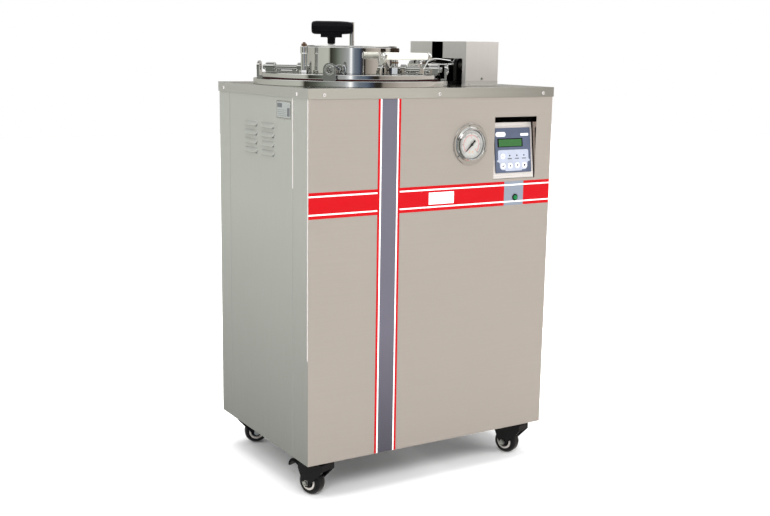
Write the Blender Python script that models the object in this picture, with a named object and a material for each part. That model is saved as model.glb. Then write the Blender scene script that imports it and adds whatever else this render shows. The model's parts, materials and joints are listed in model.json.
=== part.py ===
"""Floor-standing vertical autoclave on four swivel casters, with a swing-up bolted lid.

Units are metres, +Z is up, the front faces -Y, and the origin is on the floor under the
middle of the cabinet. The sections follow the way the machine comes apart: cabinet,
pressure vessel, lid, locking gear, hinge, instruments and casters.
"""
from math import atan2, cos, hypot, pi, radians, sin, tau

import bmesh
import bpy
from mathutils import Matrix

# ---------------------------------------------------------------- driving dimensions
GAP = 0.0003                  # clearance between pieces that touch
SHEET = 0.0015                # sheet metal thickness

CABINET_WIDTH = 0.600
CABINET_DEPTH = 0.426
PANEL_BOTTOM = 0.079
COVER_TOP = 0.839
COVER_OVERHANG = 0.002
COVER_LIP = 0.0207
FRONT_RETURN = 0.066          # how far the front sheet wraps round the sides
REAR_RETURN = 0.056
SEAM = 0.0005                 # open seam between neighbouring panels
POST = 0.020                  # square section of the frame
BASE_Z = 0.0845               # underside of the base plate

LID_X = -0.084                # vessel and lid axis, measured from the cabinet's middle
VESSEL_RADIUS = 0.150         # inside
VESSEL_WALL = 0.003
VESSEL_BOTTOM = 0.294
FLANGE_RADIUS = 0.2106
FLANGE_THICK = 0.012
GASKET_THICK = 0.0024
LID_RADIUS = 0.192
LID_THICK = 0.009
DRUM_RADIUS = 0.097
DRUM_HEIGHT = 0.058

BOLT_COUNT = 4
FIRST_BOLT = 48               # direction of the first bolt, degrees from +X
BOLT_RADIUS = 0.0055
BOLT_DROP = 0.010             # bolt axis above the top of the lid plate
BOLT_INNER = 0.058            # radial ends of a withdrawn bolt
BOLT_OUTER = 0.198
BOLT_TRAVEL = 0.0155
LOCK_TURN = radians(45)
PIN_RADIUS = 0.004
PIN_REACH = 0.066             # radial place of the follower pin, bolt withdrawn
CAM_RADIUS = 0.088
CAM_THICK = 0.005
KEEPER_REACH = 0.2035         # inner face of the keeper plate
KEEPER_THICK = 0.005
KEEPER_WIDTH = 0.026

HINGE_X = 0.182
HINGE_Z = 0.884
HOUSING_X = (0.138, 0.225)
HOUSING_HALF = 0.112
HOUSING_TOP = 0.934
SLOT_HALF = 0.0215
SHAFT_RADIUS = 0.008

GAUGE = (0.083, 0.721)        # x and z of the gauge axis
GAUGE_FLANGE_RADIUS = 0.044
GAUGE_BODY_RADIUS = 0.031
GAUGE_BEZEL_RADIUS = 0.0355
PROUD = 0.0105                # how far gauge and cable gland stand out of the cabinet
NEEDLE_REST = radians(225)    # pointer direction at zero, counter-clockwise from +X

WINDOW_X = (0.146, 0.258)     # controller window in the front sheet
WINDOW_Z = (0.644, 0.7765)
CONTROLLER = (0.2015, -0.207, 0.7045)    # middle of the controller's face
CONTROLLER_TILT = radians(7.05)
CONTROLLER_FACE = 0.096
KEY_SIZE = 0.0115
KEY_PITCH = 0.0193
KEY_ROWS = (-0.0125, -0.033)  # heights of the two key rows on the face
LAMP = (0.2056, 0.6026)       # x and z of the indicator lamp

CASTER_INSET = (0.045, 0.025)
CASTER_TRAIL = 0.025
WHEEL_RADIUS = 0.027
WHEEL_HALF = 0.014
FORK_HALF = 0.0195
FORK_CROWN = (0.0600, 0.0740)  # heights of the hood over the wheel
PEDAL_PIVOT = (0.0435, 0.0600)
CASTER_HEADINGS = {           # way each wheel trails from its swivel, degrees from +X
    "front_left": ((-1, -1), 110),
    "front_right": ((1, -1), 110),
    "rear_left": ((-1, 1), -20),
    "rear_right": ((1, 1), 200),
}

HALF_W = CABINET_WIDTH / 2
HALF_D = CABINET_DEPTH / 2
FRONT_Y = -HALF_D
FLANGE_Z = COVER_TOP + GAP
FLANGE_TOP = COVER_TOP + FLANGE_THICK
LID_Z = FLANGE_TOP + GAP + GASKET_THICK + GAP
LID_TOP = LID_Z + LID_THICK
BOLT_Z = LID_TOP + BOLT_DROP
DRUM_TOP = LID_TOP + DRUM_HEIGHT
CAM_Z = BOLT_Z + 0.009
CREASE = radians(32)    # edges sharper than this stay creased

STEEL = ((0.55, 0.53, 0.50), 0.32, 1.0)
MIRROR_STEEL = ((0.72, 0.72, 0.71), 0.12, 1.0)
BLACK_PLASTIC = ((0.02, 0.02, 0.022), 0.45, 0.0)
WHITE_PLASTIC = ((0.85, 0.84, 0.80), 0.40, 0.0)
CONTROLLER_BLUE = ((0.16, 0.19, 0.28), 0.50, 0.0)
RED_RUBBER = ((0.32, 0.08, 0.05), 0.70, 0.0)
TREAD = ((0.03, 0.03, 0.03), 0.60, 0.0)
GREEN_LENS = ((0.02, 0.30, 0.10), 0.25, 0.0)


# ---------------------------------------------------------------- scene helpers
def clear_scene():
    for old in list(bpy.data.objects):
        bpy.data.objects.remove(old, do_unlink=True)


def empty(name, location, rotation=(0, 0, 0), parent=None):
    """A guide that carries the pieces of one moving group."""
    guide = bpy.data.objects.new(name, None)
    bpy.context.collection.objects.link(guide)
    guide.location = location
    guide.rotation_euler = rotation
    guide.parent = parent
    return guide


def finish_material(name, look):
    colour, roughness, metallic = look
    material = bpy.data.materials.new(name + "_finish")
    material.use_nodes = True
    shader = material.node_tree.nodes["Principled BSDF"]
    shader.inputs["Base Color"].default_value = (*colour, 1.0)
    shader.inputs["Roughness"].default_value = roughness
    shader.inputs["Metallic"].default_value = metallic
    return material


def link_mesh(name, bm, location, rotation, parent):
    mesh = bpy.data.meshes.new(name)
    bmesh.ops.recalc_face_normals(bm, faces=bm.faces)
    bm.to_mesh(mesh)
    bm.free()
    mesh.shade_smooth()
    mesh.set_sharp_from_angle(angle=CREASE)
    piece = bpy.data.objects.new(name, mesh)
    bpy.context.collection.objects.link(piece)
    piece.location = location
    piece.rotation_euler = rotation
    piece.parent = parent
    return piece


def part(name, bm, look, location=(0, 0, 0), rotation=(0, 0, 0), parent=None):
    """One sub-part of the machine, in its own material."""
    piece = link_mesh(name, bm, location, rotation, parent)
    piece.data.materials.append(finish_material(name, look))
    return piece


def tool(target, operation, bm, location=(0, 0, 0), rotation=(0, 0, 0)):
    """A hidden solid, placed in the target's frame, that is cut from it or joined to it."""
    count = len(target.modifiers) + 1
    shape = link_mesh(f"{target.name}_tool_{count}", bm, location, rotation, target)
    shape.hide_render = True
    shape.display_type = "WIRE"
    modifier = target.modifiers.new(f"{operation.lower()}_{count}", "BOOLEAN")
    modifier.operation = operation
    modifier.object = shape


def cut(target, bm, location=(0, 0, 0), rotation=(0, 0, 0)):
    tool(target, "DIFFERENCE", bm, location, rotation)


def join(target, bm, location=(0, 0, 0), rotation=(0, 0, 0)):
    tool(target, "UNION", bm, location, rotation)


# ---------------------------------------------------------------- solids
def turned(profile, segments=32):
    """Turn (radius, height) points about Z. A profile that starts and ends on the axis
    makes a solid, and any other profile is closed into a ring."""
    bm = bmesh.new()
    rings = []
    for radius, height in profile:
        count = segments if radius > 1e-7 else 1
        rings.append([bm.verts.new((radius * cos(tau * i / segments),
                                    radius * sin(tau * i / segments), height))
                      for i in range(count)])
    pairs = list(zip(rings, rings[1:]))
    if len(rings[0]) > 1:
        pairs.append((rings[-1], rings[0]))
    for lower, upper in pairs:
        for i in range(segments):
            j = (i + 1) % segments
            corners = [lower[i % len(lower)], lower[j % len(lower)],
                       upper[j % len(upper)], upper[i % len(upper)]]
            bm.faces.new(list(dict.fromkeys(corners)))
    return bm


def rod(radius, start, end, segments=16):
    """A plain cylinder along Z."""
    return turned([(0, start), (radius, start), (radius, end), (0, end)], segments)


def tube(inner, outer, start, end, segments=32):
    return turned([(inner, start), (outer, start), (outer, end), (inner, end)], segments)


def blocks(adds, cuts=()):
    """The union of the boxes in adds less those in cuts, as one closed skin. A box is
    ((x0, x1), (y0, y1), (z0, z1))."""
    steps = [sorted({round(value, 6) for box in (*adds, *cuts) for value in box[axis]})
             for axis in range(3)]

    def inside(point, boxes):
        return any(all(box[a][0] < point[a] < box[a][1] for a in range(3)) for box in boxes)

    filled = set()
    for i in range(len(steps[0]) - 1):
        for j in range(len(steps[1]) - 1):
            for k in range(len(steps[2]) - 1):
                middle = [(steps[a][c] + steps[a][c + 1]) / 2
                          for a, c in enumerate((i, j, k))]
                if inside(middle, adds) and not inside(middle, cuts):
                    filled.add((i, j, k))
    bm = bmesh.new()
    corners = {}

    def corner(index):
        if index not in corners:
            corners[index] = bm.verts.new([steps[a][index[a]] for a in range(3)])
        return corners[index]

    for cell in filled:
        for axis in range(3):
            for side in (0, 1):
                beyond = list(cell)
                beyond[axis] += 2 * side - 1
                if tuple(beyond) in filled:
                    continue
                loop = []
                for du, dv in ((0, 0), (1, 0), (1, 1), (0, 1)):
                    index = list(cell)
                    index[axis] += side
                    index[(axis + 1) % 3] += du
                    index[(axis + 2) % 3] += dv
                    loop.append(corner(tuple(index)))
                bm.faces.new(loop)
    bmesh.ops.recalc_face_normals(bm, faces=bm.faces)
    bmesh.ops.dissolve_limit(bm, angle_limit=radians(1), verts=bm.verts, edges=bm.edges)
    return bm


def prism(outline, start, end, plane="XY"):
    """Extrude an outline of (u, v) points from start to end across its plane."""
    place = {"XY": lambda u, v, w: (u, v, w),
             "XZ": lambda u, v, w: (u, w, v),
             "YZ": lambda u, v, w: (w, u, v)}[plane]
    bm = bmesh.new()
    near = [bm.verts.new(place(u, v, start)) for u, v in outline]
    far = [bm.verts.new(place(u, v, end)) for u, v in outline]
    bm.faces.new(near)
    bm.faces.new(far)
    for i in range(len(outline)):
        j = (i + 1) % len(outline)
        bm.faces.new((near[i], near[j], far[j], far[i]))
    return bm


def arc(centre, radius, start, end, count):
    """Points on a circular arc, angles in degrees."""
    turn = [radians(start + (end - start) * i / count) for i in range(count + 1)]
    return [(centre[0] + radius * cos(a), centre[1] + radius * sin(a)) for a in turn]


def rounded_box(width, height, radius, count=3):
    """Outline of a rectangle with round corners, centred on the origin."""
    points = []
    for sx, sy, start in ((1, 1, 0), (-1, 1, 90), (-1, -1, 180), (1, -1, 270)):
        centre = (sx * (width / 2 - radius), sy * (height / 2 - radius))
        points += arc(centre, radius, start, start + 90, count)
    return points


def arch(width, foot, centre_height, count=8):
    """Outline of a plate that stands on its foot and has a half-round top."""
    top = arc((0, centre_height), width / 2, 0, 180, count)
    return [(-width / 2, foot), (width / 2, foot)] + top


# ---------------------------------------------------------------- cabinet
def make_cabinet():
    outer_x = HALF_W + COVER_OVERHANG
    outer_y = HALF_D + COVER_OVERHANG
    lid_hole = VESSEL_RADIUS + VESSEL_WALL + 0.002
    cover = part("top_cover", blocks(
        [((-outer_x, outer_x), (-outer_y, outer_y), (COVER_TOP - COVER_LIP, COVER_TOP))],
        [((-outer_x + SHEET, outer_x - SHEET), (-outer_y + SHEET, outer_y - SHEET),
          (0, COVER_TOP - SHEET))]), STEEL)
    cut(cover, rod(lid_hole, COVER_TOP - 0.01, COVER_TOP + 0.01, 48), (LID_X, 0, 0))

    panel_z = (PANEL_BOTTOM, COVER_TOP - SHEET - 0.001)
    left, right = (-HALF_W, -HALF_W + SHEET), (HALF_W - SHEET, HALF_W)
    front_y = (FRONT_Y, FRONT_Y + SHEET)
    wrap_y = (FRONT_Y, FRONT_Y + FRONT_RETURN)
    fold_y = (FRONT_Y, FRONT_Y + 0.014)
    front = part("front_panel", blocks(
        [((-HALF_W, HALF_W), front_y, panel_z), (left, wrap_y, panel_z),
         (right, wrap_y, panel_z),
         ((WINDOW_X[0] - SHEET, WINDOW_X[0]), fold_y, WINDOW_Z),
         ((WINDOW_X[1], WINDOW_X[1] + SHEET), fold_y, WINDOW_Z)],
        [(WINDOW_X, (FRONT_Y - 0.01, FRONT_Y + 0.03), WINDOW_Z)]), STEEL)
    along_y = (radians(-90), 0, 0)
    cut(front, rod(GAUGE_BODY_RADIUS + 0.001, -0.01, 0.01, 40),
        (GAUGE[0], FRONT_Y, GAUGE[1]), along_y)
    cut(front, rod(0.0065, -0.01, 0.01, 20), (LAMP[0], FRONT_Y, LAMP[1]), along_y)

    side_y = (FRONT_Y + FRONT_RETURN + SEAM, HALF_D - REAR_RETURN - SEAM)
    part("left_panel", blocks([(left, side_y, panel_z)]), STEEL)
    part("right_panel", blocks([(right, side_y, panel_z)]), STEEL)

    rear_y = (HALF_D - SHEET, HALF_D)
    back_y = (HALF_D - REAR_RETURN, HALF_D)
    rear = part("rear_panel", blocks(
        [((-HALF_W, HALF_W), rear_y, panel_z), (left, back_y, panel_z),
         (right, back_y, panel_z)]), STEEL)
    gland_place = (0.200, HALF_D, 0.164)
    cut(rear, rod(0.0085, -0.01, 0.01, 20), gland_place, along_y)
    head = 0.012
    part("cable_gland", turned(
        [(0.0035, -0.020), (0.008, -0.020), (0.008, GAP), (head, GAP), (head, 0.005),
         (0.0095, 0.0065), (0.006, PROUD), (0.0035, PROUD)], 16),
        BLACK_PLASTIC, gland_place, (radians(-90), 0, 0))
    make_frame()


def make_frame():
    """Posts, rails, base plate and caster pads, welded into one piece."""
    x, y = HALF_W - SHEET - 0.0005, HALF_D - SHEET - 0.0005
    top = COVER_TOP - SHEET - GAP
    base_top = BASE_Z + 0.003
    adds = [((-x, x), (-y, y), (BASE_Z, base_top))]
    for low, high in ((base_top, base_top + POST), (top - POST, top)):
        for side in (-1, 1):
            adds.append(((-x, x), sorted((side * y, side * (y - POST))), (low, high)))
            adds.append((sorted((side * x, side * (x - POST))), (-y, y), (low, high)))
    for sx in (-1, 1):
        for sy in (-1, 1):
            post_x = sorted((sx * x, sx * (x - POST)))
            post_y = sorted((sy * y, sy * (y - POST)))
            adds.append((post_x, post_y, (BASE_Z, top)))
            cx, cy = sx * (HALF_W - CASTER_INSET[0]), sy * (HALF_D - CASTER_INSET[1])
            pad = 0.022
            adds.append(((cx - pad, cx + pad), (cy - pad, cy + pad), (BASE_Z - 0.004, base_top)))
    cross_x = 0.130
    adds.append(((cross_x, cross_x + POST), (-y, y), (top - POST, top)))
    part("cabinet_frame", blocks(adds), ((0.30, 0.30, 0.30), 0.5, 1.0))


# ---------------------------------------------------------------- pressure vessel
def make_vessel():
    centre = (LID_X, 0, 0)
    inner, outer, low = VESSEL_RADIUS, VESSEL_RADIUS + VESSEL_WALL, VESSEL_BOTTOM
    shell = part("vessel_shell", turned(
        [(0, low), (outer - 0.040, low + 0.003), (outer - 0.012, low + 0.014),
         (outer, low + 0.036), (outer, FLANGE_TOP), (inner, FLANGE_TOP),
         (inner, low + 0.038), (inner - 0.011, low + 0.0165), (inner - 0.039, low + 0.006),
         (0, low + 0.003)], 36), MIRROR_STEEL, centre)
    part("vessel_flange", tube(outer + GAP, FLANGE_RADIUS, FLANGE_Z, FLANGE_TOP, 60),
         MIRROR_STEEL, centre)

    heater_z, heater_radius, stem = low + 0.032, 0.100, 0.0042
    stem_angles = (-8, 8)
    for degrees in stem_angles:
        x, y = heater_radius * cos(radians(degrees)), heater_radius * sin(radians(degrees))
        cut(shell, rod(stem + 0.001, low - 0.02, low + 0.028, 16), (x, y, 0))
    make_heater(heater_z, heater_radius, stem, stem_angles)

    basket_low, basket_high, basket_radius, basket_wall = low + 0.050, 0.784, 0.140, 0.002
    rim = basket_radius + 0.004
    part("sterilising_basket", turned(
        [(0, basket_low), (basket_radius, basket_low), (basket_radius, basket_high - 0.008),
         (rim, basket_high - 0.008), (rim, basket_high), (basket_radius - basket_wall, basket_high),
         (basket_radius - basket_wall, basket_low + basket_wall), (0, basket_low + basket_wall)],
        40), MIRROR_STEEL, centre)
    for number in range(BOLT_COUNT):
        make_keeper(number)


def make_heater(height, radius, tube_radius, stem_angles):
    """Immersion heater: one loop whose two ends turn down through the vessel's bottom."""
    start, end = stem_angles[1], 360 + stem_angles[0]
    loop = [(x, y, height) for x, y in arc((0, 0), radius, start, end, 24)]
    stems = [[(p[0], p[1], height - 0.048 + 0.012 * i) for i in range(4)]
             for p in (loop[0], loop[-1])]
    curve = bpy.data.curves.new("heater_element", "CURVE")
    curve.dimensions = "3D"
    curve.bevel_depth = tube_radius
    curve.bevel_resolution = 1
    curve.use_fill_caps = True
    route = stems[0] + loop + stems[1][::-1]
    spline = curve.splines.new("POLY")
    spline.points.add(len(route) - 1)
    for point, place in zip(spline.points, route):
        point.co = (*place, 1.0)
    heater = bpy.data.objects.new("heater_element", curve)
    bpy.context.collection.objects.link(heater)
    heater.location = (LID_X, 0, 0)
    curve.materials.append(finish_material("heater_element", STEEL))


def bolt_angle(number):
    return FIRST_BOLT + 360 / BOLT_COUNT * number


def make_keeper(number):
    """Upright plate on the flange, with a foot and the hole that the bolt enters."""
    foot = FLANGE_TOP + GAP
    inner, outer = KEEPER_REACH, KEEPER_REACH + KEEPER_THICK
    degrees = bolt_angle(number)
    keeper = part(f"lock_keeper_{number + 1}",
                  prism(arch(KEEPER_WIDTH, foot, BOLT_Z + 0.001), inner, outer, "YZ"),
                  MIRROR_STEEL, (LID_X, 0, 0), (0, 0, radians(degrees)))
    half = KEEPER_WIDTH / 2
    ledge = ((LID_RADIUS + 0.0035, inner + 0.001), (-half, half), (foot, foot + 0.0035))
    join(keeper, blocks([ledge]))
    cut(keeper, rod(BOLT_RADIUS + 0.0008, inner - 0.01, outer + 0.01, 14),
        (0, 0, BOLT_Z), (0, radians(90), 0))


# ---------------------------------------------------------------- lid
def make_lid(axis):
    """The lid's fixed pieces; axis is the guide on the hinge line."""
    centre = (LID_X - HINGE_X, 0, -HINGE_Z)
    plug, plug_drop = VESSEL_RADIUS - 0.004, 0.005
    part("lid_plate", turned(
        [(0, LID_Z - plug_drop), (plug, LID_Z - plug_drop), (plug, LID_Z),
         (LID_RADIUS - 0.001, LID_Z), (LID_RADIUS, LID_Z + 0.001),
         (LID_RADIUS, LID_TOP - 0.0015), (LID_RADIUS - 0.0015, LID_TOP), (0, LID_TOP)], 60),
        MIRROR_STEEL, centre, parent=axis)
    gasket_z = FLANGE_TOP + GAP
    part("lid_gasket", tube(VESSEL_RADIUS + 0.012, LID_RADIUS - 0.0015, gasket_z,
                            gasket_z + GASKET_THICK, 60), RED_RUBBER, centre, parent=axis)
    wall = part("drum_wall", tube(DRUM_RADIUS - 0.002, DRUM_RADIUS, LID_TOP + GAP,
                                  DRUM_TOP - 0.004 - GAP, 40), MIRROR_STEEL, centre, parent=axis)
    for number in range(BOLT_COUNT):
        turn = (0, radians(90), radians(bolt_angle(number)))
        cut(wall, rod(BOLT_RADIUS + 0.001, DRUM_RADIUS - 0.02, DRUM_RADIUS + 0.02, 12),
            (0, 0, BOLT_Z), turn)
        make_bolt_guide(number, centre, axis)
    make_handle(centre, axis)
    make_valves(centre, axis)


def make_bolt_guide(number, centre, axis):
    """Two round-topped bearing blocks on one strap, bored for the bolt."""
    foot = LID_TOP + GAP
    strap_half, strap_top = 0.008, foot + 0.0028
    inner_block, outer_block = (0.108, 0.118), (0.172, 0.189)
    shape = arch(0.021, foot, BOLT_Z)
    guide = part(f"bolt_guide_{number + 1}", prism(shape, *outer_block, "YZ"),
                 MIRROR_STEEL, centre, (0, 0, radians(bolt_angle(number))), axis)
    join(guide, prism(shape, *inner_block, "YZ"))
    join(guide, blocks([((inner_block[0] + 0.002, outer_block[0] + 0.004),
                         (-strap_half, strap_half), (foot, strap_top))]))
    cut(guide, rod(BOLT_RADIUS + 0.0005, 0.09, 0.21, 14), (0, 0, BOLT_Z), (0, radians(90), 0))


def make_handle(centre, axis):
    """White sleeve on a cross rod held by two leaning straps near the lid's front edge."""
    ends, height, reach = (-0.024, 0.076), 0.901, -0.178
    grip_radius, rod_radius = 0.00735, 0.004
    length = ends[1] - ends[0]
    middle = (ends[0] + ends[1]) / 2
    along_x = (0, radians(90), 0)
    place = (centre[0] + middle, centre[1] + reach, centre[2] + height)
    part("lid_handle_grip", tube(rod_radius + GAP, grip_radius, -length / 2, length / 2, 24),
         WHITE_PLASTIC, place, along_x, axis)

    strap, lean, ear = 0.003, 0.023, 0.0085
    foot = LID_TOP + GAP - height
    outline = [(lean - ear, foot), (lean + ear, foot), (lean + ear, foot + 0.004)]
    outline += arc((0, 0), ear, 20, 200, 8)
    outline += [(lean - ear, foot + 0.012)]
    half = length / 2 + GAP
    bracket = part("lid_handle_bracket", prism(outline, half, half + strap, "YZ"),
                   MIRROR_STEEL, place, parent=axis)
    join(bracket, prism(outline, -half - strap, -half, "YZ"))
    join(bracket, rod(rod_radius, -half - strap - 0.003, half + strap + 0.003), (0, 0, 0), along_x)


def make_valves(centre, axis):
    foot = LID_TOP + GAP
    vent_place = (centre[0] - 0.115, centre[1], centre[2])
    part("vent_valve", turned(
        [(0, foot), (0.011, foot), (0.011, foot + 0.006), (0.006, foot + 0.008),
         (0.006, foot + 0.046), (0.0085, foot + 0.048), (0.0085, foot + 0.060),
         (0.005, foot + 0.064), (0, foot + 0.065)], 16), MIRROR_STEEL, vent_place, parent=axis)
    safety_place = (centre[0] + 0.042, centre[1] - 0.108, centre[2])
    safety = part("safety_valve", rod(0.0115, foot, foot + 0.014, 6), MIRROR_STEEL,
                  safety_place, parent=axis)
    join(safety, turned(
        [(0, foot + 0.010), (0.0075, foot + 0.010), (0.0075, foot + 0.034),
         (0.0095, foot + 0.036), (0.0095, foot + 0.050), (0.006, foot + 0.054),
         (0, foot + 0.054)], 14))


# ---------------------------------------------------------------- locking gear
def make_lock(axis):
    """Cap, spindle with cam disc, and T-handle, which turn together on the lid's axis."""
    half_cap = 0.0037
    cap = part("drum_cap", turned(
        [(0.0055, DRUM_TOP - half_cap), (DRUM_RADIUS - 0.001, DRUM_TOP - half_cap),
         (DRUM_RADIUS, DRUM_TOP - half_cap + 0.001), (DRUM_RADIUS, DRUM_TOP - 0.001),
         (DRUM_RADIUS - 0.001, DRUM_TOP), (0.0055, DRUM_TOP)], 40), MIRROR_STEEL,
        (0, 0, -DRUM_TOP), parent=axis)
    knob_x, stud_radius, stud_height = -0.050, 0.0035, 0.0021
    join(cap, rod(stud_radius, DRUM_TOP - 0.001, DRUM_TOP + stud_height), (knob_x, 0, 0))

    spindle, spindle_top = 0.005, 0.971
    cam = part("cam_disc", turned(
        [(0, LID_TOP + GAP), (spindle, LID_TOP + GAP), (spindle, CAM_Z - 0.006),
         (0.018, CAM_Z - 0.006), (0.018, CAM_Z), (CAM_RADIUS, CAM_Z),
         (CAM_RADIUS, CAM_Z + CAM_THICK), (0.018, CAM_Z + CAM_THICK),
         (0.018, DRUM_TOP - 0.010), (spindle, DRUM_TOP - 0.009),
         (spindle, spindle_top - 0.001), (spindle - 0.001, spindle_top), (0, spindle_top)], 28),
        MIRROR_STEEL, (0, 0, -DRUM_TOP), parent=axis)
    for number in range(BOLT_COUNT):
        cut(cam, spiral_slot(number))
    make_t_handle(axis, (knob_x, 0, stud_height + GAP))


def spiral_slot(number):
    """Slot that drives one follower pin outwards as the disc turns counter-clockwise."""
    spare, half, steps = radians(1.5), PIN_RADIUS + 0.0006, 8
    rate = BOLT_TRAVEL / LOCK_TURN
    centres = []
    for i in range(steps + 1):
        turn = -spare + (LOCK_TURN + 2 * spare) * i / steps
        radius, angle = PIN_REACH + rate * turn, radians(bolt_angle(number)) - turn
        centres.append((radius * cos(angle), radius * sin(angle)))
    left, right = [], []
    for i, (x, y) in enumerate(centres):
        before, after = centres[max(i - 1, 0)], centres[min(i + 1, steps)]
        dx, dy = after[0] - before[0], after[1] - before[1]
        size = hypot(dx, dy)
        left.append((x - half * dy / size, y + half * dx / size))
        right.append((x + half * dy / size, y - half * dx / size))
    outline = left + end_cap(centres[-1], left[-1], half) + right[::-1]
    outline += end_cap(centres[0], right[0], half)
    return prism(outline, CAM_Z - 0.002, CAM_Z + CAM_THICK + 0.002)


def end_cap(centre, start, radius):
    """Half-round end that runs clockwise from start, without its two end points."""
    first = atan2(start[1] - centre[1], start[0] - centre[0])
    return [(centre[0] + radius * cos(first - pi * i / 6),
             centre[1] + radius * sin(first - pi * i / 6)) for i in range(1, 6)]


def make_t_handle(axis, place):
    """Moulded T-handle: a neck, a shoulder plate and a round bar with a tapered right end."""
    neck, plate_z = 0.008, 0.0143
    bar_radius, bar_half, bar_shift, bar_z = 0.0139, 0.0443, 0.0022, 0.0345
    ends = ((0, -1), (0.64, -1), (0.86, -0.96), (1, -0.84),
            (1, 0.35), (0.92, 0.78), (0.76, 0.96), (0.55, 1), (0, 1))
    handle = part("t_handle_grip", turned([(0, 0), (neck - 0.002, 0), (neck, 0.002),
                                           (neck, plate_z + 0.002), (0, plate_z + 0.002)], 20),
                  BLACK_PLASTIC, place, (0, 0, radians(-31.6)), axis)
    join(handle, prism(rounded_box(0.045, 0.020, 0.004), plate_z, bar_z - 0.004))
    join(handle, turned([(r * bar_radius, h * bar_half) for r, h in ends], 20),
         (bar_shift, 0, bar_z), (0, radians(90), 0))


def make_bolts(lid_axis):
    """Radial locking bolts, each with the pin that follows a slot of the cam disc."""
    for number in range(BOLT_COUNT):
        place = (LID_X - HINGE_X, 0, BOLT_Z - HINGE_Z)
        bolt = part(f"lock_bolt_{number + 1}", blank_bolt(), MIRROR_STEEL, place,
                    (0, 0, radians(bolt_angle(number))), lid_axis)
        join(bolt, rod(PIN_RADIUS, 0, CAM_Z - BOLT_Z + CAM_THICK - 0.0005, 12),
             (PIN_REACH, 0, 0))


def blank_bolt():
    """Round bar along +X with a chamfered outer end."""
    chamfer = 0.0015
    bm = turned([(0, BOLT_INNER), (BOLT_RADIUS, BOLT_INNER),
                 (BOLT_RADIUS, BOLT_OUTER - chamfer),
                 (BOLT_RADIUS - chamfer, BOLT_OUTER), (0, BOLT_OUTER)], 14)
    bmesh.ops.rotate(bm, verts=bm.verts, matrix=Matrix.Rotation(radians(90), 3, "Y"))
    return bm


# ---------------------------------------------------------------- hinge
def make_hinge(axis):
    foot = COVER_TOP + GAP
    x0, x1 = HOUSING_X
    y0, y1 = -HOUSING_HALF, HOUSING_HALF
    window_top = 0.897           # lower edge of the side strips
    end_gap = SHEET + GAP
    slot_end = x1 - 0.0085       # room for the arm when the lid leans back
    part("hinge_housing", blocks(
        [((x0, x1), (y0 + end_gap, y1), (foot, HOUSING_TOP))],
        [((x0 + SHEET, x1 - SHEET), (y0 - 1, y1 - SHEET), (foot - 1, HOUSING_TOP - SHEET)),
         ((x0 - 1, x0 + SHEET), (y0 + 0.014, y1 - 0.014), (foot - 1, window_top)),
         ((x0 - 1, slot_end), (-SLOT_HALF, SLOT_HALF), (foot - 1, HOUSING_TOP + 1))]), STEEL)
    part("hinge_end_cover", blocks(
        [((x0, x1), (y0, y0 + SHEET), (foot, HOUSING_TOP)),
         ((x0 - 0.010, x1), (y0 - 0.016, y0 + SHEET), (foot, foot + SHEET))]), STEEL)

    ear_inner, ear_outer, ear_half = 0.0265, 0.0385, 0.017
    ear = [(-ear_half, foot - HINGE_Z), (ear_half, foot - HINGE_Z)]
    ear += arc((0, 0), ear_half, 0, 180, 9)
    base = (HINGE_X, 0, HINGE_Z)
    bracket = part("hinge_bracket", prism(ear, ear_inner, ear_outer, "XZ"), STEEL, base)
    join(bracket, prism(ear, -ear_outer, -ear_inner, "XZ"))
    join(bracket, blocks([((-0.024, 0.036), (-ear_outer - 0.010, ear_outer + 0.010),
                           (foot - HINGE_Z, foot - HINGE_Z + 0.006))]))
    across = (radians(-90), 0, 0)
    bore = SHAFT_RADIUS + GAP
    cut(bracket, rod(bore, -0.06, 0.06, 24), (0, 0, 0), across)

    shaft_half = ear_outer + 0.004
    part("hinge_shaft", rod(SHAFT_RADIUS, -shaft_half, shaft_half, 24), MIRROR_STEEL,
         (0, 0, 0), across, axis)
    make_hinge_arm(axis, bore, across)


def make_hinge_arm(axis, bore, across):
    """Foot on the lid, humped web and two side rods that meet in the hub on the shaft."""
    hub_half, hub_radius = 0.0200, 0.0140
    foot = LID_TOP + GAP - HINGE_Z
    block_x = (-0.112, -0.080)
    web = [(block_x[0] + 0.004, foot), (block_x[1] - 0.002, foot), (-0.066, foot + 0.020),
           (-0.020, -0.010), (0.0, -0.010), (0.0, 0.010), (-0.018, 0.0105),
           (-0.040, 0.0130), (-0.062, 0.0130), (-0.084, 0.0080), (block_x[0] + 0.004, -0.002)]
    arm = part("hinge_arm", prism(web, -0.009, 0.009, "XZ"), MIRROR_STEEL, parent=axis)
    join(arm, blocks([(block_x, (-hub_half, hub_half), (foot, foot + 0.021))]))
    join(arm, rod(hub_radius, -hub_half, hub_half, 20), (0, 0, 0), across)
    for side in (-1, 1):
        join(arm, rod(0.005, block_x[1] - 0.006, -0.002, 10), (0, side * 0.0148, -0.0045),
             (0, radians(90), 0))
    cut(arm, rod(bore, -0.03, 0.03, 24), (0, 0, 0), across)


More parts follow.
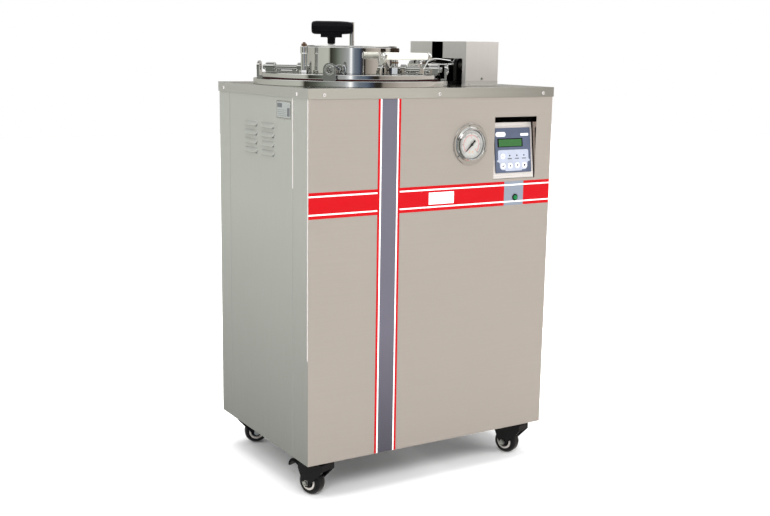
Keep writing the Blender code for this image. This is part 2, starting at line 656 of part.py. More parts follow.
# ---------------------------------------------------------------- instruments
def make_gauge():
    """Pressure gauge with a front flange, an open dial recess and a pointer."""
    place = (GAUGE[0], FRONT_Y, GAUGE[1])
    toward_front = (radians(90), 0, 0)
    dial, inner = 0.0035, 0.0305
    flange = GAP + 0.0018
    part("gauge_case", turned(
        [(0, -0.030), (GAUGE_BODY_RADIUS, -0.030), (GAUGE_BODY_RADIUS, GAP),
         (GAUGE_FLANGE_RADIUS, GAP), (GAUGE_FLANGE_RADIUS, flange),
         (GAUGE_BEZEL_RADIUS, flange), (GAUGE_BEZEL_RADIUS, PROUD - 0.001),
         (GAUGE_BEZEL_RADIUS - 0.001, PROUD), (inner + 0.001, PROUD),
         (inner, PROUD - 0.001), (inner, dial), (0, dial)], 32),
        MIRROR_STEEL, place, toward_front)
    length, tail, half = 0.0215, 0.0085, 0.0013
    outline = [(0, -half), (length - 0.004, -0.0005), (length, 0),
               (length - 0.004, 0.0005), (0, half)]
    blade = prism(outline + [(-tail, 0.0022), (-tail - 0.003, 0), (-tail, -0.0022)],
                  dial + 0.0022, dial + 0.0030)
    needle = part("gauge_needle", blade, BLACK_PLASTIC, place, parent=None)
    needle.rotation_euler = (radians(90), -NEEDLE_REST, 0)
    join(needle, turned([(0, dial + GAP), (0.0012, dial + GAP), (0.0012, dial + 0.0015),
                         (0.0030, dial + 0.0015), (0.0030, dial + 0.0042), (0, dial + 0.0042)],
                        16))


def make_controller():
    """Panel controller on its tilted bracket, with five keys that press into its face."""
    tilt = empty("controller_tilt", CONTROLLER, (-CONTROLLER_TILT, 0, 0))
    half = CONTROLLER_FACE / 2
    plate_x, plate_z, cheek = 0.0545, 0.060, 0.045
    set_back = 0.0030            # bracket plate behind the controller's face
    opening = half - 0.002
    part("controller_bracket", blocks(
        [((-plate_x, plate_x), (set_back, set_back + 0.0012), (-plate_z, plate_z)),
         ((-plate_x, -plate_x + 0.0012), (set_back, cheek), (-plate_z, plate_z)),
         ((plate_x - 0.0012, plate_x), (set_back, cheek), (-plate_z, plate_z))],
        [((-opening, opening), (-1, 1), (-opening, opening))]), MIRROR_STEEL, parent=tilt)
    body_half = opening - 0.0006
    body = part("controller_body", blocks(
        [((-half, half), (0, set_back - GAP), (-half, half)),
         ((-body_half, body_half), (0, 0.055), (-body_half, body_half))]),
        CONTROLLER_BLUE, parent=tilt)
    columns = [(i - 1.5) * KEY_PITCH - 0.0004 for i in range(4)]
    keys = {"key_start": (columns[0], KEY_ROWS[0])}
    names = ("key_enter", "key_up", "key_down", "key_set")
    keys.update({name: (column, KEY_ROWS[1]) for name, column in zip(names, columns)})
    well = KEY_SIZE + 2 * 0.0004
    for name, (x, z) in keys.items():
        shape, hole = key_outline(name, KEY_SIZE), key_outline(name, well)
        cut(body, prism(hole, -0.002, 0.006, "XZ"), (x, 0, z))
        part(name, prism(shape, -0.0016, 0.0042, "XZ"), WHITE_PLASTIC, (x, 0, z), parent=tilt)


def key_outline(name, size):
    """The start key is round, and the others are squares with soft corners."""
    radius = size / 2 - 0.00001 if name == "key_start" else size * 0.32
    return rounded_box(size, size, radius)


def make_lamp():
    part("indicator_lamp", turned(
        [(0, -0.018), (0.0058, -0.018), (0.0058, GAP), (0.0072, GAP), (0.0072, 0.0018),
         (0.0056, 0.0024), (0.0046, 0.0042), (0.0024, 0.0052), (0, 0.0054)], 16),
        GREEN_LENS, (LAMP[0], FRONT_Y, LAMP[1]), (radians(90), 0, 0))


# ---------------------------------------------------------------- casters
def make_caster(corner, sides, heading):
    """Swivel fork, wheel and brake pedal. The group's +X is the way the wheel trails."""
    place = (sides[0] * (HALF_W - CASTER_INSET[0]), sides[1] * (HALF_D - CASTER_INSET[1]), 0)
    swivel = empty(f"swivel_{corner}", place, (0, 0, radians(heading)))
    make_fork(corner, swivel)
    wheel = [(0.0045, -0.012), (0.0150, -0.012), (0.0172, -WHEEL_HALF),
             (0.0236, -WHEEL_HALF), (WHEEL_RADIUS, -0.007)]
    profile = wheel + [(radius, -height) for radius, height in reversed(wheel)]
    part(f"caster_wheel_{corner}", turned(profile, 24), TREAD,
         (CASTER_TRAIL, 0, WHEEL_RADIUS), (radians(-90), 0, 0), swivel)

    pivot = (PEDAL_PIVOT[0], 0, PEDAL_PIVOT[1])
    outline = arc((0, 0), 0.0046, 60, 200, 8)
    outline += [(-0.0040, -0.0082), (0.0020, -0.0086), (0.0075, -0.0075), (0.0120, -0.0030),
                (0.0200, 0.0012), (0.0270, 0.0016), (0.0315, -0.0020), (0.0345, -0.0092),
                (0.0385, -0.0088), (0.0375, -0.0020), (0.0330, 0.0048), (0.0270, 0.0066),
                (0.0180, 0.0062)]
    pedal = part(f"brake_pedal_{corner}", prism(outline, -0.0125, 0.0125, "XZ"),
                 BLACK_PLASTIC, pivot, parent=swivel)
    cut(pedal, rod(0.0024, -0.02, 0.02, 16), (0, 0, 0), (radians(-90), 0, 0))


def make_fork(corner, swivel):
    """Hooded fork with its raceway, axle and pedal pin."""
    axle = (CASTER_TRAIL, WHEEL_RADIUS)
    low, high = FORK_CROWN
    outline = [(-0.0185, high), (-0.0185, low)]
    outline += arc(axle, 0.0095, 200, 340, 5)
    outline += [(0.0485, 0.0550), (0.0485, 0.0640), (0.0420, high)]
    fork = part(f"caster_fork_{corner}", prism(outline, -FORK_HALF, FORK_HALF, "XZ"),
                BLACK_PLASTIC, parent=swivel)
    slot = 0.0163
    cut(fork, blocks([((-0.03, 0.06), (-slot, slot), (-0.01, low)),
                      ((0.0320, 0.06), (-slot, slot), (-0.01, high + 0.01))]))
    pad_foot = BASE_Z - 0.004 - GAP
    join(fork, turned([(0, high - 0.002), (0.0185, high - 0.002), (0.0200, high),
                       (0.0200, high + 0.004), (0.0180, pad_foot), (0, pad_foot)], 16))
    across = (radians(-90), 0, 0)
    join(fork, rod(0.0040, -FORK_HALF - 0.002, FORK_HALF + 0.002, 10),
         (axle[0], 0, axle[1]), across)
    join(fork, rod(0.0020, -FORK_HALF + 0.001, FORK_HALF - 0.001, 8),
         (PEDAL_PIVOT[0], 0, PEDAL_PIVOT[1]), across)


def build():
    clear_scene()
    make_cabinet()
    make_vessel()
    lid_axis = empty("lid_hinge_axis", (HINGE_X, 0, HINGE_Z))
    make_lid(lid_axis)
    lock_axis = empty("lock_axis", (LID_X - HINGE_X, 0, DRUM_TOP - HINGE_Z), parent=lid_axis)
    make_lock(lock_axis)
    make_bolts(lid_axis)
    make_hinge(lid_axis)
    make_gauge()
    make_controller()
    make_lamp()
    for corner, (sides, heading) in CASTER_HEADINGS.items():
        make_caster(corner, sides, heading)


build()
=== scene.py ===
"""Looks of the floor-standing vertical autoclave: finishes, decals, instruments, screws and
the fine surface of the lid gear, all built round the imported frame. Units are metres."""
import json
from math import cos, pi, radians, sin, tau

import bmesh
import bpy
from mathutils import Matrix, Vector


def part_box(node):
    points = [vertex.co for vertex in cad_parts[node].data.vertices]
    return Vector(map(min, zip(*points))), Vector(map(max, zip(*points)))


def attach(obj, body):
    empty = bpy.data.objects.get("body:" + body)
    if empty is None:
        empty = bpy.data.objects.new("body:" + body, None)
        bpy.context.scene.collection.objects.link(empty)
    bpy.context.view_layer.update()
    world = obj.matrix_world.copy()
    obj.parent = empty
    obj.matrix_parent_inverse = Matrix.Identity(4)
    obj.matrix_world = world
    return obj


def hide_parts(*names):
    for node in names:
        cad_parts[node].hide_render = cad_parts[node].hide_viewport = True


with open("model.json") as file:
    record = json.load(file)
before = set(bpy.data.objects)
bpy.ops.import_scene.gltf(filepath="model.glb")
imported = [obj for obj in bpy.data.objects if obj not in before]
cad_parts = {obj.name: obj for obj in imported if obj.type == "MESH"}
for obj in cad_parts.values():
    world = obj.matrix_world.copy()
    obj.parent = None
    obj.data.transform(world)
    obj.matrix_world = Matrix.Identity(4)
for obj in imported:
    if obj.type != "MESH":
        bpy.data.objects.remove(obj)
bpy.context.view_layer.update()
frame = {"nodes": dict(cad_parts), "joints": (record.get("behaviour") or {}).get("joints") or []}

# ---- camera
CAMERA_PLACE = (-1.3063, -2.1326, 0.9159)
CAMERA_AZIMUTH, CAMERA_PITCH, CAMERA_ROLL = -31.645, 10.554, 0.8615
LENS, SENSOR = 52.53, 36.0

camera_data = bpy.data.cameras.new("camera")
camera_data.lens = LENS
camera_data.sensor_width = SENSOR
camera_data.clip_start = 0.05
camera = bpy.data.objects.new("camera", camera_data)
bpy.context.scene.collection.objects.link(camera)
camera.matrix_world = (Matrix.Translation(CAMERA_PLACE)
                       @ Matrix.Rotation(radians(CAMERA_AZIMUTH), 4, "Z")
                       @ Matrix.Rotation(radians(90 - CAMERA_PITCH), 4, "X")
                       @ Matrix.Rotation(radians(CAMERA_ROLL), 4, "Z"))
bpy.context.scene.camera = camera
bpy.context.scene.view_settings.view_transform = "Standard"


# ---- places read from the frame
def node_box(name):
    low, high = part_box(name)
    return low, high, (low + high) / 2


def joint(name):
    return next(j for j in frame["joints"] if j["name"] == name)


COVER_LOW, COVER_HIGH, _ = node_box("top_cover")
PANEL_LOW, PANEL_HIGH, _ = node_box("front_panel")
FRONT_Y = PANEL_LOW.y
LEFT_X, RIGHT_X = PANEL_LOW.x, PANEL_HIGH.x
REAR_Y = node_box("rear_panel")[1].y
PANEL_FOOT = PANEL_LOW.z
COVER_TOP = COVER_HIGH.z
LID_LOW, LID_HIGH, LID_MIDDLE = node_box("lid_plate")
LID_CENTRE = Vector((LID_MIDDLE.x, LID_MIDDLE.y, 0))
LID_TOP = LID_HIGH.z
LID_RADIUS = (LID_HIGH.x - LID_LOW.x) / 2
FLANGE_LOW, FLANGE_HIGH, _ = node_box("vessel_flange")
FLANGE_RADIUS = (FLANGE_HIGH.x - FLANGE_LOW.x) / 2
DRUM_RADIUS = (node_box("drum_cap")[1].x - node_box("drum_cap")[0].x) / 2
BOLT_Z = LID_TOP + 0.010
HINGE = Vector(joint("lid_hinge")["pos_m"])


def from_corner(x, y, z):
    """A place measured from the cabinet's front left bottom corner."""
    return Vector((LEFT_X + x, FRONT_Y + y, PANEL_FOOT + z))


# ---- node materials
def add_node(tree, kind, *links, **values):
    """A node with its inputs or settings given by name, and links of (socket, source)."""
    made = tree.nodes.new(kind)
    for key, value in values.items():
        if key in made.inputs:
            made.inputs[key].default_value = value
        else:
            setattr(made, key, value)
    for socket, source in links:
        tree.links.new(source, made.inputs[socket])
    return made


def map_range(tree, source, low, high, start, end):
    made = add_node(tree, "ShaderNodeMapRange", ("Value", source))
    for socket, value in (("From Min", start), ("From Max", end),
                          ("To Min", low), ("To Max", high)):
        made.inputs[socket].default_value = value
    return made.outputs["Result"]


class Look:
    """A Principled material whose colour, roughness and bump come from texture nodes."""

    def __init__(self, name, colour, roughness, metallic=0.0):
        self.material = bpy.data.materials.new(name)
        self.material.use_nodes = True
        self.tree = self.material.node_tree
        self.shader = self.tree.nodes["Principled BSDF"]
        self.set("Base Color", (*colour, 1.0))
        self.set("Roughness", roughness)
        self.set("Metallic", metallic)
        self.colour, self.roughness = colour, roughness
        self.coordinates = self.tree.nodes.new("ShaderNodeTexCoord").outputs["Object"]

    def set(self, socket, value):
        self.shader.inputs[socket].default_value = value
        return self

    def node(self, kind, *links, **values):
        return add_node(self.tree, kind, *links, **values)

    def stretched(self, scale):
        return self.node("ShaderNodeMapping", ("Vector", self.coordinates),
                         Scale=scale).outputs["Vector"]

    def noise(self, scale, detail=3.0, stretch=(1, 1, 1)):
        return self.node("ShaderNodeTexNoise", ("Vector", self.stretched(stretch)),
                         Scale=scale, Detail=detail).outputs["Fac"]

    def remap(self, source, low, high, start=0.3, end=0.7):
        return map_range(self.tree, source, low, high, start, end)

    def shade(self, source, low, high, start=0.3, end=0.7):
        """Multiply the colour by a texture between two factors."""
        factor = self.remap(source, low, high, start, end)
        colour = self.shader.inputs["Base Color"]
        mix = self.node("ShaderNodeVectorMath", operation="MULTIPLY")
        if colour.is_linked:
            self.tree.links.new(colour.links[0].from_socket, mix.inputs[0])
        else:
            mix.inputs[0].default_value = self.colour
        self.tree.links.new(factor, mix.inputs[1])
        self.tree.links.new(mix.outputs["Vector"], colour)
        return self

    def vary_roughness(self, source, low, high, start=0.3, end=0.7):
        self.tree.links.new(self.remap(source, low, high, start, end),
                            self.shader.inputs["Roughness"])
        return self

    def bump(self, source, distance, strength=1.0):
        previous = self.shader.inputs["Normal"]
        made = self.node("ShaderNodeBump", ("Height", source), Distance=distance,
                         Strength=strength)
        if previous.is_linked:
            self.tree.links.new(previous.links[0].from_socket, made.inputs["Normal"])
        self.tree.links.new(made.outputs["Normal"], previous)
        return self


def sheet_steel(name, colour, grain, metallic=0.55, roughness=0.42, floor_shade=1.0,
                right_shade=1.0):
    """Brushed stainless sheet. grain is the scale vector that stretches the brush lines;
    floor_shade is painted shade that darkens the sheet towards the floor, where it would
    mirror the dim room, and right_shade is painted shade that darkens it towards the
    machine's right side."""
    look = Look(name, colour, roughness, metallic)
    lines = look.noise(1.0, 2.0, grain)
    patches = look.noise(3.5, 2.0)
    look.shade(lines, 0.984, 1.016).shade(patches, 0.988, 1.012)
    place = look.node("ShaderNodeSeparateXYZ", ("Vector", look.coordinates)).outputs
    # Painted shade: darker towards the floor, and towards the machine's right side.
    if floor_shade < 1:
        look.shade(place["Z"], floor_shade, 1.0, PANEL_FOOT, 0.60)
    if right_shade < 1:
        look.shade(place["X"], 1.0, right_shade, -0.05, 0.28)
    fine = look.noise(1.0, 1.0, [s * 1.9 for s in grain])
    look.vary_roughness(fine, roughness - 0.07, roughness + 0.07)
    look.bump(lines, 0.00003, 0.3)
    return look.material


def polished_steel(name, colour=(0.80, 0.80, 0.78), roughness=0.10):
    """Buffed stainless steel with faint wipe marks and polishing lines."""
    look = Look(name, colour, roughness, 1.0)
    wipes = look.noise(26.0, 4.0, (1, 1, 0.35))
    lines = look.noise(1.0, 2.0, (60, 60, 1400))
    look.shade(look.noise(9.0, 3.0), 0.93, 1.03)
    look.vary_roughness(wipes, roughness * 0.6, roughness * 1.7)
    look.bump(lines, 0.00001, 0.08)
    return look.material


def moulded(name, colour, roughness=0.42, grain=900.0, depth=0.00006, specular=0.5):
    """Moulded plastic or rubber with a fine spark-eroded skin and slight handling wear."""
    look = Look(name, colour, roughness)
    look.set("Specular IOR Level", specular)
    skin = look.noise(grain, 2.0)
    wear = look.noise(45.0, 4.0)
    look.shade(wear, 0.90, 1.10)
    look.vary_roughness(wear, roughness - 0.07, roughness + 0.09)
    look.bump(skin, depth, 0.45)
    return look.material


def vinyl(name, colour, roughness=0.34, low_shade=1.0):
    """Printed self-adhesive film: even colour with a slight orange-peel gloss. low_shade
    is painted shade that darkens it near the floor."""
    look = Look(name, colour, roughness)
    look.set("Specular IOR Level", 0.14)
    # Painted shade: darker near the floor.
    if low_shade < 1:
        height = look.node("ShaderNodeSeparateXYZ", ("Vector", look.coordinates)).outputs["Z"]
        look.shade(height, low_shade, 1.0, PANEL_FOOT, 0.345)
    look.shade(look.noise(14.0, 2.0), 0.985, 1.015)
    look.vary_roughness(look.noise(60.0, 3.0), roughness - 0.05, roughness + 0.06)
    look.bump(look.noise(420.0, 2.0), 0.00002, 0.35)
    return look.material


def painted_print(name, colour, roughness=0.5):
    look = Look(name, colour, roughness)
    look.shade(look.noise(300.0, 2.0), 0.92, 1.06)
    return look.material


def thin_glass(name):
    """Thin cover glass: nearly clear, with the room faintly mirrored in it."""
    look = Look(name, (0.95, 0.97, 1.0), 0.03, 1.0)
    look.set("Alpha", 0.04)
    look.vary_roughness(look.noise(80.0, 3.0), 0.02, 0.05)
    return look.material


ALONG_X, ALONG_Y, ALONG_Z = (6, 900, 900), (900, 6, 900), (900, 900, 6)
FRONT_STEEL = sheet_steel("front_steel", (0.464, 0.421, 0.379), ALONG_X)
# floor_shade: painted shade, darker towards the floor. This steel also colours the front sheet's
# side returns, where its other tone is a painted reflection.
SIDE_STEEL = sheet_steel("side_steel", (0.424, 0.435, 0.402), ALONG_Z, floor_shade=0.60)
# right_shade: painted shade, darker towards the machine's right side.
COVER_STEEL = sheet_steel("cover_steel", (0.450, 0.435, 0.385), ALONG_X, right_shade=0.60)
# lip_steel and top_steel, with cover_steel, are one sheet, the top cover, coloured face by face to
# the light each face catches: painted light and shade.
LIP_STEEL = sheet_steel("lip_steel", (0.374, 0.374, 0.348), ALONG_Y)
TOP_STEEL = sheet_steel("top_steel", (0.56, 0.55, 0.51), ALONG_X, 1.0, 0.16)
# Near-black steel: painted shade and dark reflections inside the hinge housing and on the hinge
# bracket.
PAINTED_SHADE_STEEL = sheet_steel("painted_shade_steel", (0.020, 0.020, 0.020), ALONG_Z, 0.9, 0.30)
HOUSING_STEEL = sheet_steel("housing_steel", (0.565, 0.555, 0.53), ALONG_Z, 0.6, 0.40)
END_STEEL = sheet_steel("end_steel", (0.68, 0.66, 0.63), ALONG_Z, 0.6, 0.40)
INNER_STEEL = sheet_steel("inner_steel", (0.42, 0.42, 0.41), ALONG_Z, 0.9, 0.30)
MIRROR = polished_steel("mirror_steel", (0.84, 0.84, 0.82), 0.045)
# A lighter, less metallic copy of the brushed steel for the controller bracket: its extra
# brightness is painted light.
BRIGHT_STEEL = sheet_steel("bright_steel", (0.67, 0.635, 0.61), ALONG_X, 0.35, 0.30)
# Bronze-tinted copy of polished steel for the folds at the controller's window: a painted
# reflection.
FOLD_STEEL = polished_steel("fold_steel", (0.46, 0.39, 0.34), 0.12)
EDGE_STEEL = sheet_steel("edge_steel", (0.60, 0.56, 0.545), ALONG_Z, 0.15, 0.40)
# A darker copy of the mirror steel for the bolts, their guides and keepers: painted dark
# reflections.
GUIDE_STEEL = polished_steel("guide_steel", (0.55, 0.55, 0.53), 0.045)
SATIN = polished_steel("satin_steel", (0.66, 0.66, 0.63), 0.24)
ZINC = polished_steel("zinc_plate", (0.62, 0.62, 0.60), 0.30)
FRAME_PAINT = moulded("frame_paint", (0.16, 0.16, 0.16), 0.5)
BLACK_PLASTIC = moulded("black_plastic", (0.003, 0.003, 0.004), 0.36, specular=0.09)
GLOSS_BLACK = moulded("gloss_black", (0.004, 0.004, 0.005), 0.18, 500.0, 0.00003, 0.22)
WHITE_PLASTIC = moulded("white_plastic", (0.72, 0.71, 0.64), 0.38, 700.0, 0.00003)
KEY_WHITE = moulded("key_white", (0.76, 0.77, 0.80), 0.35, 700.0, 0.00002)
CONTROLLER_BLUE = moulded("controller_blue", (0.075, 0.092, 0.140), 0.48, 1100.0, specular=0.3)
CONTROLLER_PALE = moulded("controller_pale", (0.375, 0.405, 0.490), 0.42, 1100.0, 0.00002)
GASKET_RED = moulded("gasket_red", (0.050, 0.010, 0.009), 0.60, specular=0.2)
WHEEL_RUBBER = moulded("wheel_rubber", (0.008, 0.008, 0.009), 0.30, 500.0, 0.00008, 0.25)
WHEEL_GREY = moulded("wheel_grey", (0.62, 0.58, 0.54), 0.40, 800.0, 0.00003)
RED_FILM = vinyl("red_film", (0.445, 0.002, 0.006))
WHITE_FILM = vinyl("white_film", (0.90, 0.90, 0.90))
# The grey strip's darkening near the floor is painted shade.
GREY_FILM = vinyl("grey_film", (0.116, 0.110, 0.138), low_shade=0.55)
PATCH_FILM = vinyl("patch_film", (0.205, 0.230, 0.275))
DIAL_WHITE = painted_print("dial_white", (0.46, 0.46, 0.44))
PRINT_BLACK = painted_print("print_black", (0.03, 0.03, 0.03))
PRINT_RED = painted_print("print_red", (0.56, 0.05, 0.04))
PRINT_ORANGE = painted_print("print_orange", (0.80, 0.30, 0.06))
PRINT_GREY = painted_print("print_grey", (0.10, 0.105, 0.11))
LCD_GREEN = painted_print("lcd_green", (0.028, 0.115, 0.030), 0.35)
LENS_GREEN = moulded("lens_green", (0.010, 0.170, 0.050), 0.12, 300.0, 0.00001)
GLASS = thin_glass("dial_glass")
# Near-black: painted shade in the screws' cross recesses.
PAINTED_RECESS_SHADE = painted_print("painted_recess_shade", (0.004, 0.004, 0.004), 0.9)
# Grey for the louvre mouths, where it is painted shade, and for the seam lines.
LOUVRE_SHADE = painted_print("louvre_shade", (0.23, 0.235, 0.22), 0.6)
VALVE_BROWN = polished_steel("valve_brown", (0.10, 0.070, 0.055), 0.30)
COPPER = polished_steel("copper", (0.34, 0.22, 0.15), 0.28)


# ---- mesh tools
def facing(place, normal, up=(0, 0, 1)):
    """Frame at place whose Z follows normal and whose Y leans towards up."""
    z = Vector(normal).normalized()
    x = Vector(up).cross(z).normalized()
    made = Matrix((x, z.cross(x), z)).transposed().to_4x4()
    made.translation = place
    return made


def shifted(frame_matrix, u=0.0, v=0.0, w=0.0, turn=0.0):
    return frame_matrix @ Matrix.Translation((u, v, w)) @ Matrix.Rotation(turn, 4, "Z")


def soften(points, radius, closed=False, steps=3):
    """Round the corners of a profile or outline with short curves."""
    made = []
    for i, point in enumerate(points):
        here = Vector(point)
        if not closed and i in (0, len(points) - 1):
            made.append(tuple(here))
            continue
        back = Vector(points[i - 1]) - here
        ahead = Vector(points[(i + 1) % len(points)]) - here
        reach = min(radius, back.length * 0.48, ahead.length * 0.48)
        start, end = here + back.normalized() * reach, here + ahead.normalized() * reach
        for k in range(steps + 1):
            t = k / steps
            made.append(tuple(start.lerp(here, t).lerp(here.lerp(end, t), t)))
    return made


POINTED = 1e-6                               # a turned point this near the axis is one vertex


def lathe(profile, segments=96, soft=0.0, ring=False):
    """Turn (radius, height) points about Z; a ring's profile closes on itself."""
    points = soften(profile, soft, ring) if soft else profile
    bm = bmesh.new()
    rings = []
    for radius, height in points:
        count = segments if radius > POINTED else 1
        rings.append([bm.verts.new(polar(radius, tau * i / segments, height))
                      for i in range(count)])
    pairs = list(zip(rings, rings[1:]))
    if ring:
        pairs.append((rings[-1], rings[0]))
    for lower, upper in pairs:
        for i in range(segments):
            j = (i + 1) % segments
            corners = [lower[i % len(lower)], lower[j % len(lower)],
                       upper[j % len(upper)], upper[i % len(upper)]]
            unique = list(dict.fromkeys(corners))
            if len(unique) > 2:
                bm.faces.new(unique)
    return bm


def slab(outline, low, high, edge=0.0003, steps=2):
    """Plate with the given outline from low to high along Z, its rims rounded by edge."""
    bm = bmesh.new()
    bottom = [bm.verts.new((u, v, low)) for u, v in outline]
    top = [bm.verts.new((u, v, high)) for u, v in outline]
    bm.faces.new(bottom)
    bm.faces.new(top)
    for i in range(len(outline)):
        j = (i + 1) % len(outline)
        bm.faces.new((bottom[i], bottom[j], top[j], top[i]))
    if edge:
        rims = [e for e in bm.edges if abs(e.verts[0].co.z - e.verts[1].co.z) < 1e-8]
        bmesh.ops.bevel(bm, geom=rims, offset=edge, segments=steps, profile=0.5,
                        affect="EDGES", clamp_overlap=True)
    return bm


def arc(radius, start, end, count, centre=(0, 0)):
    turn = [radians(start + (end - start) * i / count) for i in range(count + 1)]
    return [(centre[0] + radius * cos(a), centre[1] + radius * sin(a)) for a in turn]


def oblong(width, height, radius, count=6):
    """Outline of a rectangle with round corners, centred on the origin."""
    points = []
    for sx, sy, start in ((1, 1, 0), (-1, 1, 90), (-1, -1, 180), (1, -1, 270)):
        points += arc(radius, start, start + 90, count,
                      (sx * (width / 2 - radius), sy * (height / 2 - radius)))
    return points


def hexagon(across_flats):
    return arc(across_flats / 2 / cos(pi / 6), 30, 330, 5)


def rectangle(u0, u1, v0, v1):
    return [(u0, v0), (u1, v0), (u1, v1), (u0, v1)]


def mirrored(half):
    """Close the lower half of a (radius, height) profile with its own reflection."""
    return half + [(radius, -height) for radius, height in reversed(half)]


def polar(radius, angle, *height):
    return (radius * cos(angle), radius * sin(angle), *height)


def skin(bm, rings):
    """Join neighbouring closed rings of vertices and close both ends."""
    for first, second in zip(rings, rings[1:]):
        for k in range(len(first)):
            m = (k + 1) % len(first)
            bm.faces.new((first[k], first[m], second[m], second[k]))
    bm.faces.new(rings[0])
    bm.faces.new(rings[-1])
    return bm


def bar(path, radius, sides=16):
    """Round bar along a path of points, with flat ends."""
    points = [Vector(p) for p in path]
    bm = bmesh.new()
    rings = []
    side = None
    for i, here in enumerate(points):
        ahead = (points[min(i + 1, len(points) - 1)] - points[max(i - 1, 0)]).normalized()
        if side is None:
            side = ahead.orthogonal().normalized()
        side = (side - ahead * side.dot(ahead)).normalized()
        other = ahead.cross(side)
        rings.append([bm.verts.new(here + radius * (side * cos(tau * k / sides)
                                                    + other * sin(tau * k / sides)))
                      for k in range(sides)])
    return skin(bm, rings)


SHARP_ANGLE = 32                             # degrees; sharper edges stay creased


class Piece:
    """One visible piece: solids are put into it in the row frame, then it is finished."""

    def __init__(self, name, material, body="root", slot=None, stands_for=(),
                 crease=SHARP_ANGLE):
        self.name, self.material, self.body = name, material, body
        self.slot, self.stands_for, self.crease = slot, stands_for, crease
        self.bm = bmesh.new()

    def put(self, solid, place=Matrix()):
        bmesh.ops.transform(solid, matrix=place, verts=solid.verts)
        bmesh.ops.recalc_face_normals(solid, faces=solid.faces)
        carrier = bpy.data.meshes.new("carrier")
        solid.to_mesh(carrier)
        solid.free()
        self.bm.from_mesh(carrier)
        bpy.data.meshes.remove(carrier)
        return self

    def turn(self, place, profile, segments, soft=0.0, ring=False):
        return self.put(lathe(profile, segments, soft, ring), place)

    def plate(self, place, outline, low, high, edge=0.0003, steps=2):
        return self.put(slab(outline, low, high, edge, steps), place)

    def done(self):
        mesh = bpy.data.meshes.new(self.name)
        self.bm.to_mesh(mesh)
        self.bm.free()
        mesh.shade_smooth()
        mesh.set_sharp_from_angle(angle=radians(self.crease))
        mesh.materials.append(self.material)
        made = bpy.data.objects.new(self.name, mesh)
        bpy.context.scene.collection.objects.link(made)
        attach(made, self.body)
        if self.stands_for:
            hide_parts(*self.stands_for)
        made.modifiers.new("flat_faces", "WEIGHTED_NORMAL").keep_sharp = True
        return made


def turned(name, material, place, profile, segments, soft=0.0, ring=False, **about):
    """A piece that is one turned solid."""
    Piece(name, material, **about).turn(place, profile, segments, soft, ring).done()


def cut(name, material, place, outline, low, high, edge=0.0003, **about):
    """A piece that is one flat plate."""
    Piece(name, material, **about).plate(place, outline, low, high, edge).done()


FRONT = facing((0, FRONT_Y, 0), (0, -1, 0))       # u = x, v = z, w = out of the front sheet
LEFT = facing((LEFT_X, 0, 0), (-1, 0, 0))         # u = -y, v = z
RIGHT = facing((RIGHT_X, 0, 0), (1, 0, 0))        # u = y, v = z
REAR = facing((0, REAR_Y, 0), (0, 1, 0))          # u = -x, v = z


# ---- fasteners
def pan_screw(metal, dark, place, radius=0.0035, height=0.0016):
    """Domed cross-recess screw head with its recess as a dark inlay of painted shade."""
    metal.turn(place, [(0, -0.0004), (radius, -0.0004), (radius, height * 0.45),
               (radius * 0.72, height * 0.88), (0, height)], 24, radius * 0.25)
    for turn in (0.5, 0.5 + pi / 2):
        dark.plate(shifted(place, turn=turn),
                   oblong(radius * 1.05, radius * 0.24, radius * 0.08, 2),
                   height * 0.80, height + 0.00006, 0)


def screw_set(name, metal, spots):
    """Screw heads and the painted shade in their recesses; a spot is a place, then perhaps a
    radius and a height.
    """
    heads = Piece(f"{name}_screws", metal, slot="polished_steel")
    recesses = Piece(f"{name}_screw_recess_shades", PAINTED_RECESS_SHADE)
    for place, *size in spots:
        pan_screw(heads, recesses, place, *size)
    heads.done()
    recesses.done()


def hex_nut(target, place, across=0.010, height=0.005, washer=True):
    """Chamfered hexagon nut on a plain washer, with the stud's end showing."""
    base = 0.0
    if washer:
        target.turn(place, [(0, 0), (across * 0.62, 0), (across * 0.62, 0.0010), (0, 0.0010)], 32,
                    0.0002)
        base = 0.0010
    target.plate(place, hexagon(across), base, base + height, across * 0.06)
    target.turn(place, [(0, base), (across * 0.27, base), (across * 0.27, base + height + 0.0012),
                (across * 0.20, base + height + 0.0020), (0, base + height + 0.0020)], 20)


# ---- cabinet
LIP_SCREW_Z = COVER_TOP - 0.0125
LIP_SCREWS_X, LIP_SCREWS_Y = (0.0335, 0.301, 0.5724), (0.046, 0.398)
screw_set("cover", EDGE_STEEL,
          [(shifted(sheet, sign * (LEFT_X + x), LIP_SCREW_Z, 0.002),)
           for x in LIP_SCREWS_X for sheet, sign in ((FRONT, 1), (REAR, -1))]
          + [(shifted(sheet, sign * (FRONT_Y + y), LIP_SCREW_Z, 0.002),)
             for y in LIP_SCREWS_Y for sheet, sign in ((LEFT, -1), (RIGHT, 1))])


